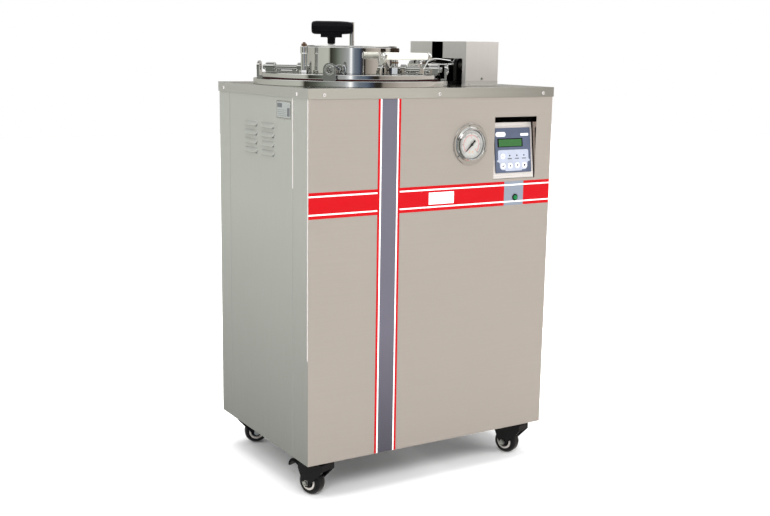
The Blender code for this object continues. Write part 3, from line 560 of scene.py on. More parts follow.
def louvre(target, mouth, place, length=0.063, height=0.0105, depth=0.0036):
    """Pressed-out hood, open along its lower edge and closed at both ends."""
    stations, arcs = 18, 7
    end_run, end_height = 0.0075, 0.35       # rise at each end; share of the height kept there
    bm = bmesh.new()
    loops = []
    for i in range(stations + 1):
        share = i / stations
        end = min(share, 1 - share) * length / end_run
        swell = sin(min(end, 1.0) * pi / 2)
        along = (share - 0.5) * length
        fall = end_height + (1 - end_height) * swell
        loop = []
        for k in range(arcs + 1):
            a = k / arcs * pi / 2
            loop.append(bm.verts.new((along, height * (0.5 - (1 - cos(a)) * fall),
                                      depth * swell * sin(a) ** 1.3 + 0.0001)))
        loop.append(bm.verts.new((along, height * (0.5 - fall), -0.0002)))
        loop.append(bm.verts.new((along, height * 0.5, -0.0002)))
        loops.append(loop)
    target.put(skin(bm, loops), place)
    # The mouth is a grey strip of painted shade set in the hood's open edge.
    mouth.plate(shifted(place, v=-height / 2 - 0.0004), oblong(length - 0.008, 0.0011, 0.0005, 3),
                -0.0002, depth * 0.55, 0)


def upright(target, sheet, u, half_width, low, high, proud, edge):
    """Thin strip that stands on a side sheet at u."""
    target.plate(sheet, rectangle(u - half_width, u + half_width, low, high),
                 0.00005, proud, edge)


LOUVRE_TOP, LOUVRE_PITCH = PANEL_FOOT + 0.679, 0.0187
LOUVRE_MIDDLES = (0.2595, 0.1785)            # from the front sheet
CORNER_Y, FRONT_SEAM_Y, REAR_SEAM_Y = 0.0019, 0.0662, 0.3700
SEAM_CHANGE_Z, SHEET_TOP = 0.640, COVER_LOW.z - 0.0005
for side, sheet, sign in (("left", LEFT, -1), ("right", RIGHT, 1)):
    hoods = Piece(f"{side}_louvres", SIDE_STEEL, slot="brushed_steel")
    mouths = Piece(f"{side}_louvre_mouths", LOUVRE_SHADE)
    for y in LOUVRE_MIDDLES:
        for row in range(4):
            louvre(hoods, mouths, shifted(sheet, sign * (FRONT_Y + y),
                                          LOUVRE_TOP - LOUVRE_PITCH * row))
    hoods.done()
    mouths.done()

    # Bright strips, lighter than the side sheet, up the front corner from 0.30 m and up the front
    # seam from SEAM_CHANGE_Z; they stop partway down.
    bright_strips = Piece(f"{side}_edge_bright_strips", EDGE_STEEL, slot="brushed_steel")
    corner_u, front_seam_u, rear_seam_u = (sign * (FRONT_Y + y) for y in
                                           (CORNER_Y, FRONT_SEAM_Y, REAR_SEAM_Y))
    upright(bright_strips, sheet, corner_u, 0.0017, 0.300, SHEET_TOP, 0.0006, 0.0003)
    upright(bright_strips, sheet, front_seam_u, 0.0017, SEAM_CHANGE_Z, SHEET_TOP, 0.0006, 0.0003)
    bright_strips.done()
    seams = Piece(f"{side}_seam_shades", LOUVRE_SHADE)
    upright(seams, sheet, front_seam_u, 0.0007, PANEL_FOOT + 0.001, SEAM_CHANGE_Z, 0.0002, 0)
    upright(seams, sheet, rear_seam_u, 0.0007, PANEL_FOOT + 0.001, SHEET_TOP, 0.0002, 0)
    seams.done()

# blank data plate on the left side
plate = shifted(LEFT, -(FRONT_Y + 0.1065), PANEL_FOOT + 0.7145)
PLATE_FACE, FIELD_FACE, PRINT_FACE = 0.0006, 0.00072, 0.00082
cut("data_plate", SATIN, plate, oblong(0.063, 0.035, 0.001), 0.0001, PLATE_FACE, 0.0002,
    slot="brushed_steel")
cut("data_plate_field", vinyl("plate_film", (0.25, 0.265, 0.255)), plate,
    oblong(0.059, 0.031, 0.0006), PLATE_FACE, FIELD_FACE, 0)
plate_blocks = Piece("data_plate_blocks", PRINT_GREY)
for block in ([(-0.0275, -0.006, 0.004, 0.0125), (0.0165, 0.0275, -0.0125, 0.004)]
              + [(-0.0275, 0.012, -0.0125 + 0.0038 * row, -0.0119 + 0.0038 * row)
                 for row in range(4)]):
    plate_blocks.plate(plate, rectangle(*block), FIELD_FACE, PRINT_FACE, 0)
plate_blocks.done()

# ---- printed films on the front
FILM = 0.00014
BAND = (("red", 0.5527, 0.5591), ("white", 0.5497, 0.5527), ("red", 0.5164, 0.5497),
        ("white", 0.5135, 0.5164), ("red", 0.5068, 0.5135))
STRIP = (("red", 0.1567, 0.1618), ("white", 0.1618, 0.1650), ("grey", 0.1650, 0.2014),
         ("white", 0.2014, 0.2045), ("red", 0.2045, 0.2097))
films = {name: Piece(f"{name}_film", material) for name, material in
         (("red", RED_FILM), ("white", WHITE_FILM), ("grey", GREY_FILM), ("patch", PATCH_FILM))}


def film(colour, x0, x1, z0, z1, layer):
    low, high = from_corner(x0, 0, z0), from_corner(x1, 0, z1)
    films[colour].plate(FRONT, rectangle(low.x, high.x, low.z, high.z), 0.00002, FILM * layer, 0)


FRONT_WIDTH = RIGHT_X - LEFT_X
BAND_INSET, STRIP_INSET = 0.0002, 0.0005
LIP_FOOT = COVER_LOW.z - PANEL_FOOT
PATCH_X, BADGE_X = (0.476, 0.528), (0.281, 0.344)
for colour, low, high in BAND:
    film(colour, BAND_INSET, FRONT_WIDTH - BAND_INSET, low, high, 1.5 if colour == "white" else 1)
for colour, low, high in STRIP:
    film(colour, low, high, STRIP_INSET, LIP_FOOT - STRIP_INSET, 2)
film("patch", *PATCH_X, BAND[-1][1], BAND[0][2], 1.25)
film("white", *BADGE_X, BAND[2][1] + 0.0040, BAND[2][2] - 0.0045, 2)
for made in films.values():
    made.done()

# ---- pressure gauge
GAUGE_LOW, GAUGE_HIGH, GAUGE_MIDDLE = node_box("gauge_case")
GAUGE_FRAME = facing((GAUGE_MIDDLE.x, FRONT_Y, GAUGE_MIDDLE.z), (0, -1, 0))
FLANGE_R = (GAUGE_HIGH.x - GAUGE_LOW.x) / 2
BEZEL_R, GLASS_R, DIAL_R = 0.0355, 0.0308, 0.0300
PROUD = FRONT_Y - GAUGE_LOW.y
DIAL_OUT = 0.0035

turned("gauge_body", MIRROR, GAUGE_FRAME, [(0, -0.030), (0.031, -0.030), (0.031, 0.0003),
       (FLANGE_R, 0.0003), (FLANGE_R, 0.0018), (FLANGE_R - 0.0012, 0.0024),
       (BEZEL_R + 0.0014, 0.0024), (BEZEL_R + 0.0002, 0.0034), (BEZEL_R, PROUD - 0.0030),
       (BEZEL_R - 0.0022, PROUD), (GLASS_R + 0.0010, PROUD), (GLASS_R, PROUD - 0.0016),
       (GLASS_R, DIAL_OUT - 0.0004), (0, DIAL_OUT - 0.0004)], 128, 0.0007, slot="polished_steel",
       stands_for=("gauge_case",))
turned("gauge_dial", DIAL_WHITE, GAUGE_FRAME, [(0, DIAL_OUT - 0.0004), (DIAL_R, DIAL_OUT - 0.0004),
       (DIAL_R, DIAL_OUT), (0, DIAL_OUT)], 96, slot="white_plastic")
turned("gauge_glass", GLASS, GAUGE_FRAME, [(0, PROUD - 0.0026), (GLASS_R - 0.0001, PROUD - 0.0026),
       (GLASS_R - 0.0001, PROUD - 0.0014), (0, PROUD - 0.0014)], 96, 0.0003, slot="green_lens")
turned("gauge_dial_rim", PRINT_GREY, GAUGE_FRAME, [(0.0296, DIAL_OUT),
       (GLASS_R - 0.0001, DIAL_OUT), (GLASS_R - 0.0001, DIAL_OUT + 0.0014),
       (0.0296, DIAL_OUT + 0.0003)], 96, 0.0, True, slot="black_plastic")
screw_set("gauge", ZINC, [(shifted(GAUGE_FRAME, *polar(0.0400, radians(degrees), 0.0024)),
                           0.0024, 0.0012) for degrees in (97, 217, 337)])

SWEEP_START, SWEEP = 225, 270
INK = 0.00007


def dial_ticks(target, inner, outer, count, width, major=1, longer=0.0):
    for i in range(count + 1):
        start = inner - longer if i % major == 0 else inner
        turn = radians(SWEEP_START - SWEEP * i / count)
        target.plate(shifted(GAUGE_FRAME, w=DIAL_OUT, turn=turn),
                     rectangle(start, outer, -width / 2, width / 2), 0, INK, 0)


def dial_ring(target, radius, width, count=90):
    """Scale line: an open ring over the sweep, drawn as short joined blocks."""
    for i in range(count):
        first = radians(SWEEP_START - SWEEP * i / count)
        second = radians(SWEEP_START - SWEEP * (i + 1) / count)
        outline = [polar(radius, first), polar(radius + width, first),
                   polar(radius + width, second), polar(radius, second)]
        target.plate(shifted(GAUGE_FRAME, w=DIAL_OUT), outline, 0, INK, 0)


def figure(target, text, size, place):
    """A number, as flat extruded figures centred on place."""
    curve = bpy.data.curves.new("figure", "FONT")
    curve.body = text
    curve.size = size
    curve.align_x, curve.align_y = "CENTER", "CENTER"
    curve.extrude = INK / 2
    curve.resolution_u = 3
    carrier = bpy.data.objects.new("figure", curve)
    mesh = bpy.data.meshes.new_from_object(carrier)
    bm = bmesh.new()
    bm.from_mesh(mesh)
    bpy.data.objects.remove(carrier)
    bpy.data.curves.remove(curve)
    bpy.data.meshes.remove(mesh)
    target.put(bm, place)


black_marks = Piece("dial_black_marks", PRINT_BLACK)
red_marks = Piece("dial_red_marks", PRINT_RED)
dial_ring(black_marks, 0.0246, 0.00040)
dial_ticks(black_marks, 0.0248, 0.0270, 30, 0.00050, 5, 0.0012)
dial_ring(red_marks, 0.0196, 0.00060)
dial_ticks(red_marks, 0.0176, 0.0198, 40, 0.00042, 10, 0.0006)
for marks, count, step, radius, size in ((black_marks, 6, 10, 0.0222, 0.0038),
                                         (red_marks, 4, 1, 0.0148, 0.0048)):
    for i in range(count + 1):
        turn = radians(SWEEP_START - SWEEP * i / count)
        figure(marks, str(step * i), size, shifted(GAUGE_FRAME, *polar(radius, turn, DIAL_OUT)))
black_marks.done()
red_marks.done()
amber = Piece("dial_amber_marks", PRINT_ORANGE)
for u in (-0.0042, 0.0036):
    amber.plate(shifted(GAUGE_FRAME, u, -0.0158, DIAL_OUT), oblong(0.0022, 0.0030, 0.0008, 3),
                0, INK, 0)
amber.done()

NEEDLE_FRAME = shifted(GAUGE_FRAME, w=DIAL_OUT, turn=radians(SWEEP_START))
needle = Piece("gauge_pointer", GLOSS_BLACK, "needle", "black_plastic", ("gauge_needle",))
blade = [(0, -0.0017), (0.0175, -0.0008), (0.0215, 0), (0.0175, 0.0008), (0, 0.0017),
         (-0.0065, 0.0014)]
needle.plate(NEEDLE_FRAME, blade + arc(0.0026, 30, 330, 12, (-0.0095, 0)) + [(-0.0065, -0.0014)],
             0.0022, 0.0030, 0.00015)
needle.turn(NEEDLE_FRAME, [(0, 0.0003), (0.0012, 0.0003), (0.0012, 0.0016), (0.0030, 0.0016),
            (0.0030, 0.0036), (0.0022, 0.0042), (0, 0.0042)], 32, 0.0003)
needle.done()

# ---- controller
TILT = radians(7.05)
FACE = facing((0.2015, -0.207, 0.7045), (0, -cos(TILT), sin(TILT)), (0, sin(TILT), cos(TILT)))
HALF_FACE = 0.048
KEYS = {"start": (-0.02935, -0.0125), "enter": (-0.02935, -0.033), "up": (-0.01005, -0.033),
        "down": (0.00925, -0.033), "set": (0.02855, -0.033)}

body = Piece("controller_case", CONTROLLER_BLUE, slot="controller_blue",
             stands_for=("controller_body",))
body.plate(FACE, oblong(2 * HALF_FACE, 2 * HALF_FACE, 0.0015, 4), -0.0026, 0.0, 0.0005)
body.plate(FACE, rectangle(-0.0454, 0.0454, -0.0454, 0.0454), -0.055, -0.0020, 0.0005)
body.done()
cut("controller_frame_line", GLOSS_BLACK, shifted(FACE, w=0.0001),
    oblong(0.0960, 0.0960, 0.0015, 4), -0.0028, -0.0012, 0)
cut("display_border", GLOSS_BLACK, FACE, rectangle(-0.0415, 0.0265, 0.0070, 0.0255),
    0.0, 0.00025, 0.0001, slot="black_plastic")
cut("display_glass", LCD_GREEN, FACE, rectangle(-0.0380, 0.0235, 0.0085, 0.0235),
    0.0002, 0.00035, 0, slot="green_lens")

pad_outline = ([(-0.0445, -0.0215), (-0.0410, -0.0190), (-0.0410, -0.0020)]
               + arc(0.0040, 180, 90, 5, (-0.0370, -0.0030))
               + arc(0.0040, 90, 0, 5, (0.0370, -0.0030))
               + [(0.0410, -0.0190), (0.0445, -0.0215), (0.0445, -0.0240), (0.0400, -0.0250),
                  (0.0375, -0.0270)] + arc(0.0085, 0, -90, 6, (0.0290, -0.0335))
               + [(0.0215, -0.0420), (0.0215, -0.0445), (-0.0225, -0.0445), (-0.0225, -0.0420)]
               + arc(0.0085, -90, -180, 6, (-0.0290, -0.0335))
               + [(-0.0375, -0.0270), (-0.0400, -0.0250), (-0.0445, -0.0240)])
cut("keypad_film", CONTROLLER_PALE, FACE, pad_outline, 0.0, 0.00025, 0.00008,
    slot="controller_blue", crease=30)
badges = Piece("blank_badges", KEY_WHITE, slot="white_plastic")
badges.plate(shifted(FACE, -0.0325, 0.0345), oblong(0.027, 0.0100, 0.0049, 8),
             0.0, 0.0003, 0.0001)
badges.plate(shifted(FACE, 0.0320, 0.0330), oblong(0.0215, 0.0055, 0.0012, 4),
             0.0, 0.0003, 0.0001)
badges.done()

lights = Piece("status_lights", GLOSS_BLACK)
rings = Piece("status_light_rings", PRINT_GREY)
for u in (-0.01005, 0.00925, 0.02855):
    lights.turn(shifted(FACE, u, -0.0115), [(0, 0.0002), (0.0017, 0.0002), (0.0015, 0.0007),
                                            (0.0008, 0.0010), (0, 0.0011)], 20)
    rings.plate(shifted(FACE, u, -0.0180), oblong(0.0110, 0.0022, 0.0004, 2), 0.0002, 0.00035, 0)
lights.done()
rings.done()

SYMBOL_SCALE = 1.5
symbols = {name: Piece(f"symbol_{name}", PRINT_BLACK, f"key_{name}") for name in KEYS}
for name, (u, v) in KEYS.items():
    place = shifted(FACE, u, v)
    outline = oblong(0.0115, 0.0115, 0.0057 if name == "start" else 0.0042, 8)
    cap = Piece(f"key_cap_{name}", KEY_WHITE, f"key_{name}", "white_plastic",
                (f"key_{name}",))
    cap.plate(place, outline, -0.0040, 0.0016, 0.0006, 3).done()
    top = shifted(place, w=0.0015)
    mark = {
        "start": rectangle(-0.0022, 0.0022, -0.0004, 0.0004),
        "enter": [(-0.0022, -0.0006), (0.0, -0.0022), (0.0, -0.0011), (0.0020, -0.0011),
                  (0.0020, 0.0018), (0.0012, 0.0018), (0.0012, -0.0002), (0.0, -0.0002),
                  (0.0, 0.0010)],
        "up": [(-0.0020, -0.0014), (0.0020, -0.0014), (0, 0.0020)],
        "down": [(-0.0020, 0.0014), (0.0020, 0.0014), (0, -0.0020)],
        "set": arc(0.0017, 0, 345, 23),
    }[name]
    larger = [(x * SYMBOL_SCALE, y * SYMBOL_SCALE) for x, y in mark]
    symbols[name].plate(top, larger, 0, 0.00018, 0).done()

# ---- lamp
LAMP_MIDDLE = node_box("indicator_lamp")[2]
LAMP_FRAME = facing((LAMP_MIDDLE.x, FRONT_Y, LAMP_MIDDLE.z), (0, -1, 0))
turned("lamp_ring", GLOSS_BLACK, LAMP_FRAME, [(0.0050, 0.0002), (0.0072, 0.0002), (0.0072, 0.0016),
       (0.0064, 0.0026), (0.0054, 0.0026), (0.0050, 0.0016)], 48, 0.0003, True,
       slot="black_plastic")
turned("lamp_lens", LENS_GREEN, LAMP_FRAME, [(0, -0.018), (0.0058, -0.018), (0.0058, 0.0002),
       (0.0052, 0.0006), (0.0052, 0.0026), (0.0044, 0.0044), (0.0024, 0.0052), (0, 0.0054)], 48,
       0.0006, slot="green_lens", stands_for=("indicator_lamp",))

# ---- vessel mouth and lid
LID_FRAME = Matrix.Translation(LID_CENTRE)


def bolt_frame(number):
    """Frame of one locking bolt: X points outwards, Z up, on the bolt's axis height."""
    return (LID_FRAME @ Matrix.Translation((0, 0, BOLT_Z))
            @ Matrix.Rotation(radians(48 + 90 * number), 4, "Z"))


ALONG = Matrix.Rotation(radians(90), 4, "Y")          # turns a lathe's Z onto the local X

turned("vessel_flange_ring", MIRROR, LID_FRAME, [(0.1533, FLANGE_LOW.z),
       (FLANGE_RADIUS, FLANGE_LOW.z), (FLANGE_RADIUS, FLANGE_HIGH.z - 0.0006),
       (FLANGE_RADIUS - 0.0006, FLANGE_HIGH.z), (0.1533, FLANGE_HIGH.z)], 160, 0.0004, True,
       slot="polished_steel", stands_for=("vessel_flange",))
PLUG = 0.146
turned("lid_disc", MIRROR, LID_FRAME, [(0, LID_LOW.z), (PLUG, LID_LOW.z),
       (PLUG, LID_LOW.z + 0.005), (LID_RADIUS - 0.0005, LID_LOW.z + 0.005),
       (LID_RADIUS, LID_LOW.z + 0.0056), (LID_RADIUS, LID_TOP - 0.0008),
       (LID_RADIUS - 0.0008, LID_TOP), (0.1185, LID_TOP), (0.1175, LID_TOP - 0.0004),
       (0.1165, LID_TOP), (0, LID_TOP)], 160, 0.0005, body="lid", slot="polished_steel",
       stands_for=("lid_plate",))
GASKET_LOW, GASKET_HIGH, _ = node_box("lid_gasket")
turned("gasket_ring", GASKET_RED, LID_FRAME, [(0.162, GASKET_LOW.z), (0.1905, GASKET_LOW.z),
       (0.1905, GASKET_HIGH.z), (0.162, GASKET_HIGH.z)], 128, 0.0008, True, body="lid",
       slot="red_rubber", stands_for=("lid_gasket",))

# drum, with a rolled bead at its foot and a collar round each bolt
CAP_LOW = node_box("drum_cap")[0]
WALL_LOW, WALL_HIGH, _ = node_box("drum_wall")
drum = Piece("drum_shell", MIRROR, "lid", "polished_steel", ("drum_wall",))
drum.turn(LID_FRAME, [(DRUM_RADIUS - 0.002, WALL_LOW.z), (DRUM_RADIUS, WALL_LOW.z),
          (DRUM_RADIUS, WALL_HIGH.z), (DRUM_RADIUS - 0.002, WALL_HIGH.z)], 160, 0.0005, True)
for number in range(4):
    drum.turn(bolt_frame(number) @ ALONG, [(0.0062, DRUM_RADIUS - 0.0008),
              (0.0098, DRUM_RADIUS - 0.0008), (0.0098, DRUM_RADIUS + 0.0020),
              (0.0062, DRUM_RADIUS + 0.0028)], 48, 0.0005, True)
drum.done()
CAP_TOP = BOLT_Z + 0.048
cap = Piece("drum_lid", MIRROR, "lock", "polished_steel", ("drum_cap",))
cap.turn(LID_FRAME, [(0.0055, CAP_LOW.z), (DRUM_RADIUS - 0.001, CAP_LOW.z),
         (DRUM_RADIUS, CAP_LOW.z + 0.001), (DRUM_RADIUS, CAP_TOP - 0.0012),
         (DRUM_RADIUS - 0.0012, CAP_TOP), (0.0055, CAP_TOP)], 160, 0.0008, True)
KNOB_PLACE = Matrix.Translation((LID_CENTRE.x - 0.050, LID_CENTRE.y, CAP_TOP))
cap.turn(KNOB_PLACE, [(0, -0.0005), (0.0035, -0.0005), (0.0035, 0.0021), (0, 0.0021)], 32)
cap.turn(KNOB_PLACE, [(0, 0), (0.0085, 0), (0.0085, 0.0012), (0.0060, 0.0016), (0, 0.0016)], 48,
         0.0004)
cap.done()

# ---- T-handle
HANDLE = KNOB_PLACE @ Matrix.Translation((0, 0, 0.0024)) @ Matrix.Rotation(radians(-31.6), 4, "Z")
BAR_R, BAR_HALF, BAR_SHIFT, BAR_Z, SHOULDER_Z = 0.0139, 0.0443, 0.0022, 0.0345, 0.0143
STEM_R, STEM_RIBS = 0.0078, 6
grip = Piece("t_handle", BLACK_PLASTIC, "lock", "black_plastic", ("t_handle_grip",), 50)
grip.turn(HANDLE @ Matrix.Translation((BAR_SHIFT, 0, BAR_Z)) @ ALONG,
          [(r * BAR_R, h * BAR_HALF) for r, h in
           ((0, -1), (0.70, -1), (0.90, -0.95), (1, -0.82), (1, 0.35), (0.93, 0.76),
            (0.78, 0.96), (0.55, 1), (0, 1))], 64, 0.0045)
grip.plate(HANDLE, oblong(0.045, 0.020, 0.004), SHOULDER_Z, BAR_Z - 0.004, 0.0008)
grip.turn(HANDLE, [(0, 0), (0.0062, 0), (0.0080, 0.0020), (STEM_R, SHOULDER_Z - 0.0030),
          (0.0105, SHOULDER_Z + 0.0010), (0, SHOULDER_Z + 0.0010)], 48, 0.0008)
for i in range(STEM_RIBS):
    a = tau * i / STEM_RIBS + 0.3
    grip.put(bar([polar(STEM_R, a, 0.0024), polar(STEM_R, a, SHOULDER_Z)], 0.0008, 10), HANDLE)
grip.done()

# ---- valves on the lid
VENT = Matrix.Translation((LID_CENTRE.x - 0.115, LID_CENTRE.y, LID_TOP))
SAFETY = Matrix.Translation((LID_CENTRE.x + 0.042, LID_CENTRE.y - 0.108, LID_TOP))


def valve_body(name, node, place, across, height, chamfer, profile, soft):
    """Turned pillar on a hexagon base that stands on the lid."""
    made = Piece(name, MIRROR, "lid", "polished_steel", (node,))
    made.plate(place, hexagon(across), 0.0003, height, chamfer)
    made.turn(place, profile, 64, soft).done()


valve_body("vent_pillar", "vent_valve", VENT, 0.0185, 0.0062, 0.0008,
           [(0, 0.0062), (0.0072, 0.0062), (0.0068, 0.0085), (0.0068, 0.0400), (0.0080, 0.0420),
            (0.0080, 0.0540), (0.0066, 0.0556), (0, 0.0556)], 0.0006)
turned("vent_cap", COPPER, VENT, [(0, 0.0555), (0.0058, 0.0555), (0.0058, 0.0600),
       (0.0046, 0.0612), (0.0030, 0.0614), (0.0030, 0.0638), (0, 0.0640)], 64, 0.0004, body="lid",
       slot="polished_steel")
valve_body("safety_valve_body", "safety_valve", SAFETY, 0.0200, 0.0140, 0.0010,
           [(0, 0.0140), (0.0078, 0.0140), (0.0070, 0.0165), (0.0070, 0.0340), (0.0092, 0.0355),
            (0.0092, 0.0500), (0.0060, 0.0538), (0, 0.0540)], 0.0007)
turned("safety_valve_cap", VALVE_BROWN, SAFETY, [(0, 0.0455), (0.0094, 0.0455), (0.0094, 0.0530),
       (0.0080, 0.0543), (0, 0.0543)], 64, 0.0005, body="lid", slot="polished_steel")
turned("safety_valve_rings", COPPER, SAFETY, [(0.0068, 0.0225), (0.0080, 0.0225), (0.0080, 0.0260),
       (0.0068, 0.0260)], 48, 0.0004, True, body="lid", slot="polished_steel")

# ---- locking bolts
for number in range(4):
    place = bolt_frame(number)
    outward = place @ ALONG
    rod = Piece(f"locking_bolt_{number + 1}", GUIDE_STEEL, f"bolt_{number + 1}", "polished_steel",
                (f"lock_bolt_{number + 1}",))
    rod.turn(outward, [(0, 0.058), (0.0055, 0.058), (0.0055, 0.1955), (0.0042, 0.1976),
             (0, 0.198)], 48, 0.0006)
    rod.turn(place @ Matrix.Translation((0.066, 0, 0)), [(0, 0), (0.004, 0), (0.004, 0.0135),
             (0, 0.0135)], 32, 0.0004)
    rod.done()
    collars = Piece(f"bolt_collars_{number + 1}", SATIN, "lid", "polished_steel")
    for near, far in ((0.1890, 0.1916), (0.1180, 0.1200), (0.1695, 0.1720)):
        collars.turn(outward, [(0.0060, near), (0.0098, near), (0.0094, far), (0.0060, far)], 48,
                     0.0005, True)
    for along in (0.128, 0.162):
        pan = shifted(place, along, 0, LID_TOP + 0.0031 - BOLT_Z)
        collars.turn(pan, [(0, -0.0004), (0.0042, -0.0004), (0.0042, 0.0020), (0.0036, 0.0028),
                     (0, 0.0028)], 32, 0.0004)
    collars.done()
    turned(f"keeper_collar_{number + 1}", MIRROR, outward,
           [(0.0064, 0.2084), (0.0108, 0.2084), (0.0102, 0.2100), (0.0068, 0.2100)],
           48, 0.0004, True, slot="polished_steel")

# ---- lid handle
GRIP_LOW, GRIP_HIGH, GRIP_MIDDLE = node_box("lid_handle_grip")
GRIP_R = (GRIP_HIGH.z - GRIP_LOW.z) / 2
GRIP_HALF = (GRIP_HIGH.x - GRIP_LOW.x) / 2
GRIP_FRAME = Matrix.Translation(GRIP_MIDDLE) @ ALONG
turned("lid_handle_sleeve", WHITE_PLASTIC, GRIP_FRAME, [(0.0043, -GRIP_HALF),
       (GRIP_R - 0.0010, -GRIP_HALF), (GRIP_R, -GRIP_HALF + 0.0012), (GRIP_R, GRIP_HALF - 0.0012),
       (GRIP_R - 0.0010, GRIP_HALF), (0.0043, GRIP_HALF)], 64, 0.0008, True, body="lid",
       slot="white_plastic", stands_for=("lid_handle_grip",))
handle_nuts = Piece("lid_handle_nuts", MIRROR, "lid", "polished_steel")
for end in (-1, 1):
    strap_face = end * (GRIP_HALF + 0.0034)
    outwards = GRIP_FRAME @ Matrix.Translation((0, 0, strap_face))
    if end < 0:
        outwards = outwards @ Matrix.Rotation(pi, 4, "X")
    hex_nut(handle_nuts, outwards, 0.0120, 0.0042)
handle_nuts.done()

# ---- basket and heater
BASKET_LOW, BASKET_HIGH, _ = node_box("sterilising_basket")
BASKET_R, RIM_R, BASKET_WALL = 0.140, 0.144, 0.0012


def perforated_basket():
    """Rolled sheet with a punched hole in every cell; the rim and floor are turned separately."""
    around, rows, web = 48, 22, 0.0045        # web is half of the metal left between holes
    low, high = BASKET_LOW.z + 0.010, BASKET_HIGH.z - 0.014
    bm = bmesh.new()
    grid = [[bm.verts.new(polar(BASKET_R, tau * i / around, low + (high - low) * j / rows))
             for i in range(around)] for j in range(rows + 1)]
    cells = [bm.faces.new((grid[j][i], grid[j][(i + 1) % around],
                           grid[j + 1][(i + 1) % around], grid[j + 1][i]))
             for j in range(rows) for i in range(around)]
    bmesh.ops.inset_individual(bm, faces=cells, thickness=web)
    bmesh.ops.delete(bm, geom=[f for f in cells if f.is_valid], context="FACES_ONLY")
    return bm


basket = Piece("basket_wall", SATIN, "root", "polished_steel", ("sterilising_basket",))
basket.put(perforated_basket(), LID_FRAME)
basket_wall = basket.done()
rounding = basket_wall.modifiers.new("round_holes", "SUBSURF")
rounding.levels = rounding.render_levels = 1
thickness = basket_wall.modifiers.new("sheet", "SOLIDIFY")
thickness.thickness, thickness.offset = BASKET_WALL, -1.0
basket_ends = Piece("basket_rim_and_floor", SATIN, "root", "polished_steel")
inner, foot, brim = BASKET_R - 0.0014, BASKET_LOW.z, BASKET_HIGH.z
basket_ends.turn(LID_FRAME, [(inner, brim - 0.016), (BASKET_R, brim - 0.016),
                             (BASKET_R, brim - 0.007), (RIM_R, brim - 0.007), (RIM_R, brim),
                             (inner, brim)], 96, 0.0014, True)
basket_ends.turn(LID_FRAME, [(0, foot), (BASKET_R, foot), (BASKET_R, foot + 0.012),
                             (inner, foot + 0.012), (inner, foot + 0.0016), (0, foot + 0.0016)],
                 96, 0.0007)
basket_ends.done()

HEATER_HIGH = node_box("heater_element")[1]
heater_z, heater_r, heater_tube = HEATER_HIGH.z - 0.0042, 0.100, 0.0042
loop = [(x, y, heater_z) for x, y in arc(heater_r, 8, 352, 72)]
first, last = ([(x, y, heater_z - 0.046), (x, y, heater_z - 0.006)]
               for x, y, _ in (loop[0], loop[-1]))
Piece("heater_tube", INNER_STEEL, "root", "brushed_steel", ("heater_element",)).put(
    bar(first + loop[1:-1] + last[::-1], heater_tube, 20), LID_FRAME).done()

# ---- hinge housing
HOUSING_LOW, HOUSING_HIGH, HOUSING_MIDDLE = node_box("hinge_housing")
END_LOW = node_box("hinge_end_cover")[0]
END_Y = END_LOW.y + 0.016                 # outer face of the end cover's upright
END_FACE = facing((HOUSING_MIDDLE.x, END_Y, 0), (0, -1, 0))
HOUSING_SCREW_Z = COVER_TOP + 0.0150
FOOT_FACE = Matrix.Translation((0, 0, COVER_TOP + 0.0018))
screw_set("housing", ZINC,
          [(shifted(END_FACE, 0.0, HOUSING_SCREW_Z), 0.0034)]
          + [(shifted(FOOT_FACE, x, END_Y - 0.0085), 0.0030)
             for x in (HOUSING_LOW.x + 0.004, HOUSING_HIGH.x - 0.012)]
          + [(facing((HOUSING_HIGH.x, y, HOUSING_SCREW_Z), (1, 0, 0)), 0.0034)
             for y in (-0.070, 0.070)])
cut("housing_foot_band", HOUSING_STEEL, END_FACE,
    rectangle(HOUSING_LOW.x - HOUSING_MIDDLE.x + 0.0004,
              HOUSING_HIGH.x - HOUSING_MIDDLE.x - 0.0004,
              COVER_TOP + 0.0018, COVER_TOP + 0.0108), 0.00005, 0.0009, 0.0003,
    slot="brushed_steel")
arm_nuts = Piece("hinge_arm_screws", SATIN, "lid", "polished_steel")
ARM_LOW = node_box("hinge_arm")[0]
for side in (-1, 1):
    hex_nut(arm_nuts, Matrix.Translation((ARM_LOW.x + 0.007, side * 0.0135, LID_TOP + 0.0213)),
            0.0080, 0.0040)
arm_nuts.done()


def loft(stations, power=2.8, sides=32):
    """Skin over upright rounded sections; a station is (along X, half width, low, high)."""
    bm = bmesh.new()
    rings = []
    for along, half, low, high in stations:
        ring = []
        for k in range(sides):
            u, v = cos(tau * k / sides), sin(tau * k / sides)
            wide = half * abs(u) ** (2 / power) * (1 if u > 0 else -1)
            rise = (high - low) / 2 * abs(v) ** (2 / power) * (1 if v > 0 else -1)
            ring.append(bm.verts.new((along, wide, (low + high) / 2 + rise)))
        rings.append(ring)
    return skin(bm, rings)


